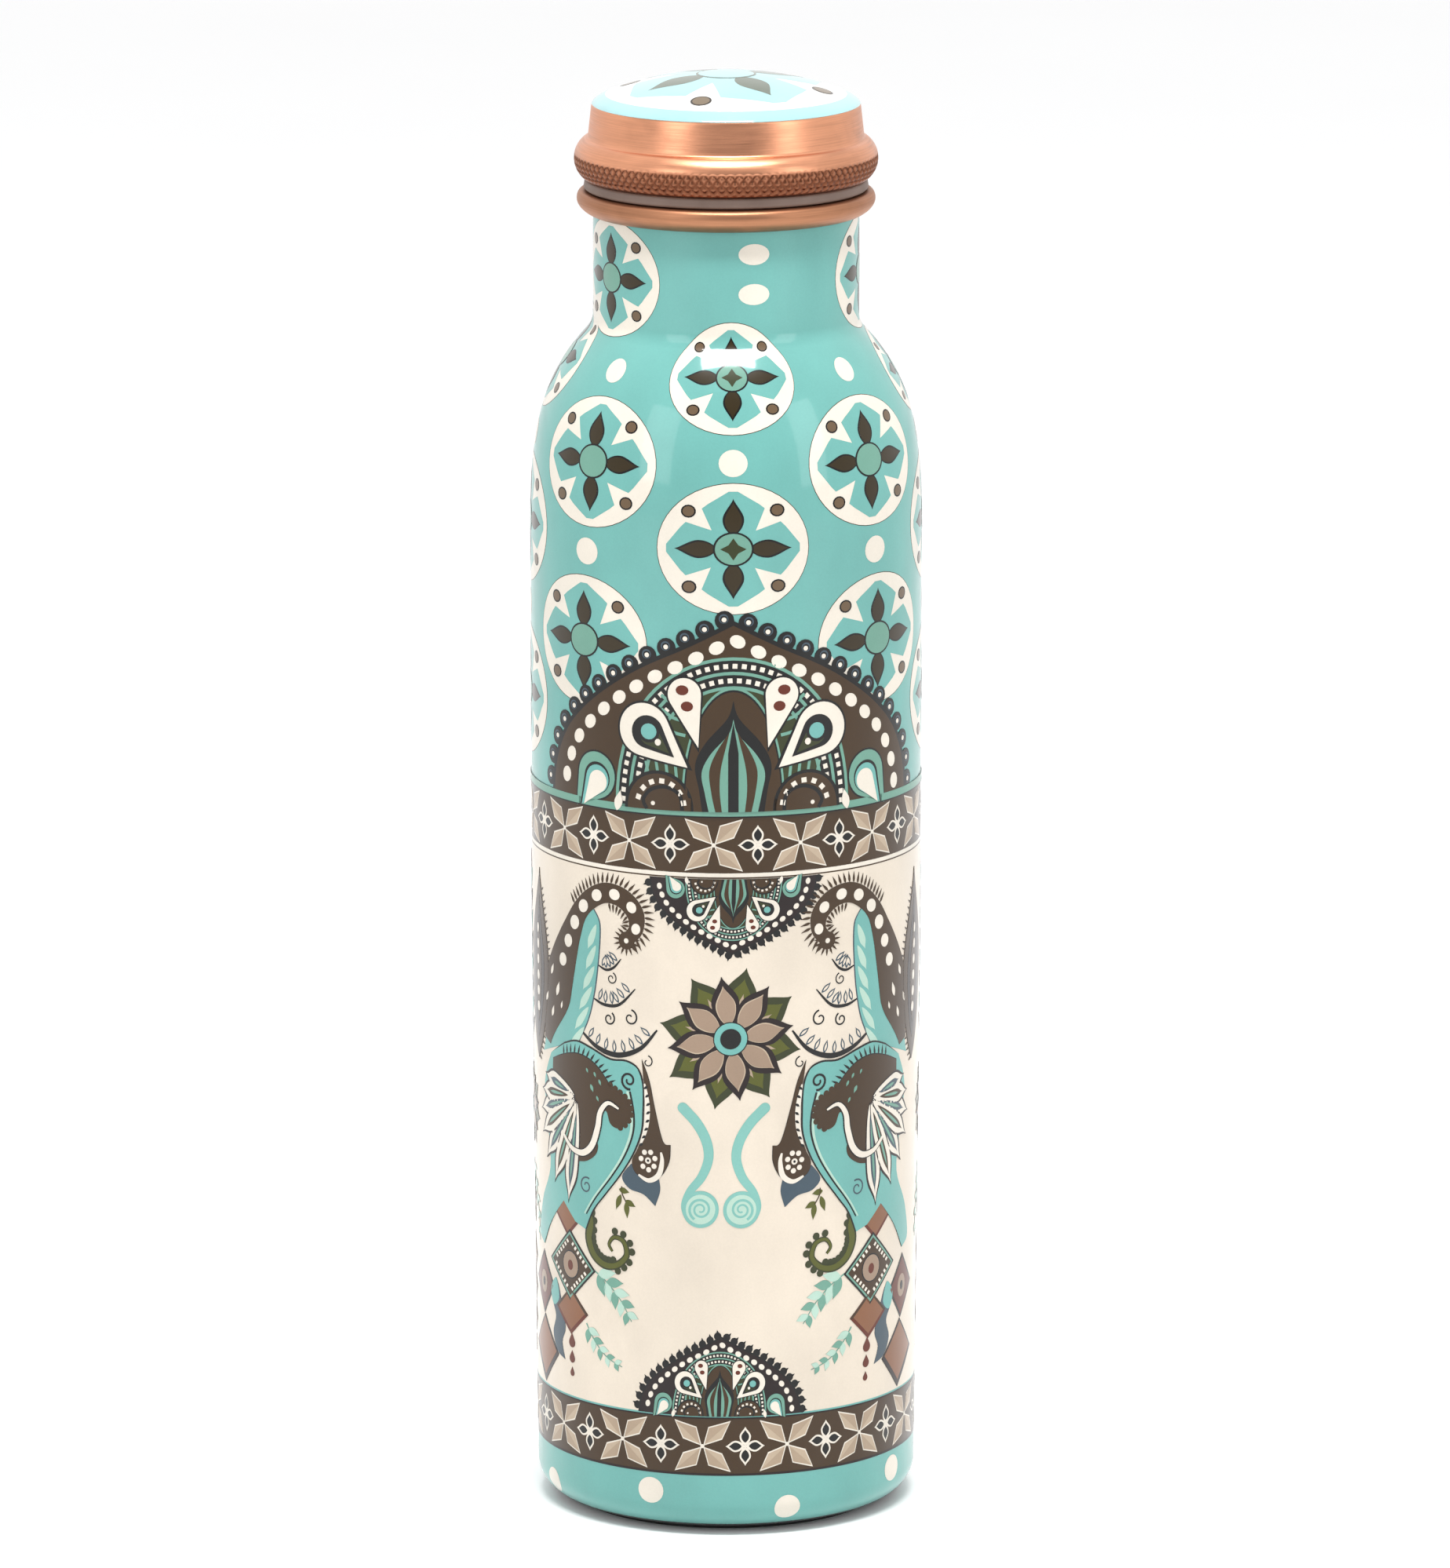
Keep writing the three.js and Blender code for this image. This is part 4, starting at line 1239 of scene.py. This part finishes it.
def body_print(s):
    half = math.pi * BODY_RADIUS
    medallion_rows(s)
    neck_print(s)
    foot_dots(s)
    for ink, low, high, layer in (
        ("field", *FIELD, 1), ("brown", 126.0, 126.25, 2), ("cream", 126.3, 127.05, 2),
        ("sage", 137.7, 139.1, 12), ("dark", 137.5, 137.75, 13), ("umber", 22.85, 23.15, 2),
        # The dark band from -2.3 to 1.0, round the foot's rounding, is painted shade: a dark line in place of
        # the shadow under the foot.
        ("umber", 11.9, 12.35, 2), ("dark", -2.3, 1.0, 2),
    ):
        s.fill(ink, box(-half, low, half, high), layer)
    band(s.at(raised=1), *WAIST_BAND, PRINT_TURN + math.radians(-5.7) * BODY_RADIUS)
    band(s.at(raised=1), *FOOT_BAND, PRINT_TURN + math.radians(-9.2) * BODY_RADIUS)
    for panel in (0, 1):
        middle = onto_round(PRINT_TURN + half * panel)
        arch(s.at(middle, ARCH_FOOT, raised=8))
        field = s.at(middle, 0, raised=2).leaning(LEAN, 120)
        arch(field.at(0, 125.9, 0.395, -0.4, raised=1), simple=True)
        arch(field.at(0, 23.4, 0.395, 0.43, raised=1), simple=True)
        daisy(field.at(0.2, 95.7))
        for side in (-1, 1):
            scroll_ribbon(field.at(-0.7, 0, side, 1))
            side_ornament(field.at(-0.95, 0, side).at(0.95).leaning(-LEAN, 120))
        side_column(s.at(onto_round(middle + half / 2), 0, raised=2))


def cap_print(s):
    s.fill("white", ellipse(0, 0, CAP_PRINT_RADIUS, steps=96), 1)
    s = s.at(across=CAP_PRINT_RADIUS, up=CAP_PRINT_RADIUS, turn=-60)
    s.fill("aqua", petalled_cross(), 2)
    for q in s.spun(4):
        q.fill("moss", leaf((0, 0.2), (0, 0.74), 0.26), 3)
        q.fill("dark", ellipse(0.575, 0.585, 0.088, steps=20), 3)
        q.fill("taupe", ellipse(0.575, 0.585, 0.072, steps=20), 4)
    s.fill("moss", ellipse(0, 0, 0.25, steps=32), 4)
    s.fill("aqua", ellipse(0, 0, 0.23, steps=32), 5)


# ---- Finishes -----------------------------------------------------------------------------------------
STUDIO_LIGHT = 1.34  # how much brighter the studio shows a painted colour
STUDIO_GLARE = 0.036  # the light that the lacquer adds to every colour
DARKEST = 0.003


def plain(red, green, blue):
    """A colour from 0 to 255 as the share of light it reflects."""
    shares = [v / 255 for v in (red, green, blue)]
    return [v / 12.92 if v <= 0.04045 else ((v + 0.055) / 1.055) ** 2.4 for v in shares] + [1]


def tone(red, green, blue):
    """The colour that looks like this, from 0 to 255, once it is lacquered and lit."""
    shares = [(v - STUDIO_GLARE) / STUDIO_LIGHT for v in plain(red, green, blue)[:3]]
    return [min(max(v, DARKEST), 1) for v in shares] + [1]


class Finish:
    """A material whose patterns read the piece's own coordinates."""

    def __init__(self, name, roughness, **sockets):
        self.material = bpy.data.materials.new(name)
        self.material.use_nodes = True
        self.tree = self.material.node_tree
        self.shader = self.tree.nodes["Principled BSDF"]
        self.shader.inputs["Roughness"].default_value = roughness
        for socket, value in sockets.items():
            self.shader.inputs[socket.replace("_", " ")].default_value = value
        self.coordinates = self.tree.nodes.new("ShaderNodeTexCoord").outputs["Object"]

    def link(self, output, node_input):
        self.tree.links.new(output, node_input)

    def noise(self, scale, detail=3.0, stretch=(1, 1, 1), distortion=0.0):
        """A soft random pattern with so many patches to the metre."""
        mapping = self.tree.nodes.new("ShaderNodeMapping")
        mapping.inputs["Scale"].default_value = stretch
        texture = self.tree.nodes.new("ShaderNodeTexNoise")
        texture.inputs["Scale"].default_value = scale
        texture.inputs["Detail"].default_value = detail
        texture.inputs["Distortion"].default_value = distortion
        self.link(self.coordinates, mapping.inputs["Vector"])
        self.link(mapping.outputs["Vector"], texture.inputs["Vector"])
        return texture.outputs["Fac"]

    def ramp(self, factor, *stops):
        """Colours between which a pattern moves; each stop is a place from 0 to 1 and a colour."""
        node = self.tree.nodes.new("ShaderNodeValToRGB")
        elements = node.color_ramp.elements
        while len(elements) < len(stops):
            elements.new(0.5)
        for element, (place, colour) in zip(elements, stops):
            element.position = place
            element.color = colour
        self.link(factor, node.inputs["Fac"])
        return node.outputs["Color"]

    def mixed(self, factor, first, second, blend="MIX"):
        node = self.tree.nodes.new("ShaderNodeMix")
        node.data_type = "RGBA"
        node.blend_type = blend
        for value, socket in ((factor, node.inputs[0]), (first, node.inputs[6]), (second, node.inputs[7])):
            if hasattr(value, "links"):
                self.link(value, socket)
            else:
                socket.default_value = value
        return node.outputs[2]

    def levels(self, factor, low, high):
        node = self.tree.nodes.new("ShaderNodeMapRange")
        node.inputs["To Min"].default_value = low
        node.inputs["To Max"].default_value = high
        self.link(factor, node.inputs["Value"])
        return node.outputs["Result"]

    def paint(self, colours):
        self.link(colours, self.shader.inputs["Base Color"])

    def roughen(self, pattern, low, high):
        self.link(self.levels(pattern, low, high), self.shader.inputs["Roughness"])

    def bump(self, *patterns):
        """Raises the surface by patterns, each with its height in metres."""
        normal = None
        for pattern, height in patterns:
            node = self.tree.nodes.new("ShaderNodeBump")
            node.inputs["Strength"].default_value = 1
            node.inputs["Distance"].default_value = height
            self.link(pattern, node.inputs["Height"])
            if normal:
                self.link(normal, node.inputs["Normal"])
            normal = node.outputs["Normal"]
        self.link(normal, self.shader.inputs["Normal"])


def enamel(name, colour, gloss=0.3):
    """Printed enamel under clear lacquer: slightly uneven colour and a faint orange peel."""
    finish = Finish(name, gloss, Coat_Weight=0.7, Coat_Roughness=0.07, Coat_IOR=1.42, Specular_IOR_Level=0.1)
    dark, light = [c * 0.93 for c in colour[:3]] + [1], [min(c * 1.06, 1) for c in colour[:3]] + [1]
    cloud = finish.ramp(finish.noise(70, 4, (1, 1, 0.6)), (0.3, dark), (0.7, light))
    grain = finish.ramp(finish.noise(2600, 2), (0.35, (0.97, 0.97, 0.97, 1)), (0.65, (1, 1, 1, 1)))
    finish.paint(finish.mixed(1.0, cloud, grain, "MULTIPLY"))
    finish.roughen(finish.noise(180, 3), gloss - 0.05, gloss + 0.07)
    finish.bump((finish.noise(420, 2), 0.000012))
    return finish.material


def copper(name, colour, roughness, knurled=False):
    """Turned copper: fine lines round the axis, soft patches of tarnish and a satin sheen."""
    finish = Finish(name, roughness, Metallic=1.0, Anisotropic=0.35)
    deep = [c * 0.62 for c in colour[:3]] + [1]
    bright = [min(c * 1.22, 1) for c in colour[:3]] + [1]
    patches = finish.ramp(finish.noise(55, 5, (1, 1, 1.4), 0.6), (0.28, deep), (0.5, colour), (0.78, bright))
    lines = finish.noise(90, 6, (1, 1, 60))
    colours = finish.mixed(0.35, patches, finish.ramp(lines, (0.3, deep), (0.7, bright)))
    # On knurled copper the colour is darkened toward near black by the painted shade stored on the bead: in
    # the grooves and under the bead.
    if knurled:
        painted_knurl_shade = finish.tree.nodes.new("ShaderNodeAttribute")
        painted_knurl_shade.attribute_name = "painted_knurl_shade"
        knurl_shade_amount = finish.levels(painted_knurl_shade.outputs["Fac"], 0.0, 0.95)
        colours = finish.mixed(knurl_shade_amount, colours, [c * s for c, s in zip(colour[:3], (0.16, 0.1, 0.08))] + [1])
    finish.paint(colours)
    finish.roughen(finish.noise(140, 4, (1, 1, 22)), roughness - 0.08, roughness + 0.12)
    finish.bump((lines, 0.000012), (finish.noise(1500, 2), 0.000004))
    return finish.material


def rubber(name, colour, roughness, **sockets):
    """Moulded rubber or silicone: an even matt skin with fine grain and a little dust."""
    finish = Finish(name, roughness, **sockets)
    dusty = [min(c * 1.25 + 0.012, 1) for c in colour[:3]] + [1]
    finish.paint(finish.ramp(finish.noise(120, 5), (0.35, colour), (0.8, dusty)))
    finish.roughen(finish.noise(300, 3), roughness - 0.06, roughness + 0.08)
    finish.bump((finish.noise(1800, 3), 0.000012))
    return finish.material


INK_TONES = {
    "aqua": (125, 187, 180),
    "cream": (243, 235, 221),
    "field": (237, 225, 208),
    "brown": (84, 70, 58),
    "bark": (74, 67, 54),
    "dark": (38, 34, 36),
    "navy": (16, 24, 36),
    "taupe": (120, 102, 84),
    "olive": (101, 104, 60),
    "moss": (74, 78, 60),
    "sage": (124, 171, 154),
    "mint": (192, 223, 207),
    "pale_aqua": (140, 197, 187),
    "slate": (84, 98, 108),
    "beige": (200, 181, 158),
    "sand": (184, 164, 142),
    "fawn": (168, 146, 127),
    "umber": (62, 44, 38),
    "russet": (112, 66, 52),
    "copper_brown": (146, 104, 80),
}
CAP_TONES = {
    "aqua": (176, 217, 219),
    "white": (238, 236, 230),
    "moss": (110, 118, 104),
    "dark": (66, 60, 52),
    "taupe": (130, 114, 94),
}


# ---- Scene --------------------------------------------------------------------------------------------
CAMERA_HEIGHT_ANGLE = math.radians(12.1)
CAMERA_DISTANCE = 2.045
CAMERA_CENTRE_Z = 0.133
AIM = Vector((-0.0002, 0, 0.1361))
LENS = 250.9


def add_camera():
    data = bpy.data.cameras.new("camera")
    data.sensor_width = 36
    data.lens = LENS
    camera = bpy.data.objects.new("camera", data)
    away = Vector((0, -math.cos(CAMERA_HEIGHT_ANGLE), math.sin(CAMERA_HEIGHT_ANGLE)))
    camera.location = Vector((0, 0, CAMERA_CENTRE_Z)) + away * CAMERA_DISTANCE
    camera.rotation_euler = (AIM - camera.location).to_track_quat("-Z", "Y").to_euler()
    bpy.context.scene.collection.objects.link(camera)
    bpy.context.scene.camera = camera


def add_light(name, place, aim, size, power, colour=(1, 1, 1)):
    data = bpy.data.lights.new(name, "AREA")
    data.shape = "RECTANGLE"
    data.size, data.size_y = size
    data.energy = power
    data.color = colour
    light = bpy.data.objects.new(name, data)
    light.location = place
    light.rotation_euler = (Vector(aim) - Vector(place)).to_track_quat("-Z", "Y").to_euler()
    bpy.context.scene.collection.objects.link(light)


def add_floor():
    mesh = bpy.data.meshes.new("floor")
    bm = bmesh.new()
    bmesh.ops.create_grid(bm, x_segments=1, y_segments=1, size=6)
    bm.to_mesh(mesh)
    bm.free()
    finish = Finish("pale_floor", 0.5)
    finish.paint(finish.ramp(finish.noise(6, 2), (0.3, (0.93, 0.93, 0.93, 1)), (0.7, (0.94, 0.94, 0.94, 1))))
    mesh.materials.append(finish.material)
    floor = bpy.data.objects.new("floor", mesh)
    bpy.context.scene.collection.objects.link(floor)


def add_world():
    """White all round, and a little darker on the camera's side."""
    world = bpy.data.worlds.new("studio")
    world.use_nodes = True
    tree = world.node_tree
    background = tree.nodes["Background"]
    background.inputs["Strength"].default_value = 1.12
    coordinates = tree.nodes.new("ShaderNodeTexCoord")
    separate = tree.nodes.new("ShaderNodeSeparateXYZ")
    ramp = tree.nodes.new("ShaderNodeValToRGB")
    ramp.color_ramp.elements[0].position = 0.05
    ramp.color_ramp.elements[0].color = (0.4, 0.4, 0.41, 1)
    ramp.color_ramp.elements[1].position = 0.5
    ramp.color_ramp.elements[1].color = (1, 1, 1, 1)
    shift = tree.nodes.new("ShaderNodeMapRange")
    shift.inputs["From Min"].default_value = -1
    tree.links.new(coordinates.outputs["Generated"], separate.inputs["Vector"])
    tree.links.new(separate.outputs["Y"], shift.inputs["Value"])
    tree.links.new(shift.outputs["Result"], ramp.inputs["Fac"])
    tree.links.new(ramp.outputs["Color"], background.inputs["Color"])
    bpy.context.scene.world = world


def build():
    scene = bpy.context.scene
    scene.view_settings.view_transform = "Standard"
    add_camera()
    add_world()
    add_floor()
    add_light("left_softbox", (-1.1, -1.2, 0.75), (0, 0, 0.13), (0.6, 1.1), 6)
    add_light("right_softbox", (1.2, -0.9, 0.7), (0, 0, 0.13), (0.5, 1.1), 5)
    add_light("top_softbox", (0.02, -0.37, 1.15), (0, 0, 0.2), (0.5, 0.12), 11)

    bare = copper("turned_copper", plain(166, 117, 88), 0.42)
    satin = copper("satin_copper", plain(216, 152, 118), 0.3, knurled=True)
    inside = copper("inner_copper", plain(190, 118, 84), 0.42)
    body_finish = enamel("aqua_enamel", tone(*INK_TONES["aqua"]))
    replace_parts(body([body_finish, inside]), "body_shell")
    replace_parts(foot_pad(rubber("black_rubber", tone(22, 22, 24), 0.7)), "base_pad")
    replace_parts(spout_and_collar(bare), "neck_ring")
    silicone = rubber("brown_silicone", tone(138, 120, 111), 0.55, Specular_IOR_Level=0.25)
    clear = rubber("clear_silicone", tone(214, 208, 196), 0.4, Subsurface_Weight=0.2)
    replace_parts(gasket(silicone), "neck_gasket")
    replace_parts(cap_shell(satin), "cap_shell")
    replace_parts(cap_liner(inside), "cap_liner")
    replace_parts(seal_disc(clear), "cap_seal")

    side = RoundSide()
    inks = {name: Ink("print_" + name, side) for name in INK_TONES}
    body_print(Stencil(inks))
    for name, ink in inks.items():
        material = enamel("enamel_" + name, tone(*INK_TONES[name]))
        ink.finish("bottle", "printed_lacquer", material)

    skin = cap_enamel_outline()
    top = turned(skin + moved_left(skin, CAP_ENAMEL + 0.02)[::-1])
    finished(top, "cap_enamel", "cap", "printed_lacquer", enamel("cap_aqua_enamel", tone(*CAP_TONES["aqua"])))
    cap_surface = RoundTop()
    cap_inks = {name: Ink("cap_print_" + name, cap_surface) for name in CAP_TONES}
    cap_print(Stencil(cap_inks))
    for name, ink in cap_inks.items():
        ink.finish("cap", "printed_lacquer", enamel("cap_enamel_" + name, tone(*CAP_TONES[name])))


build()
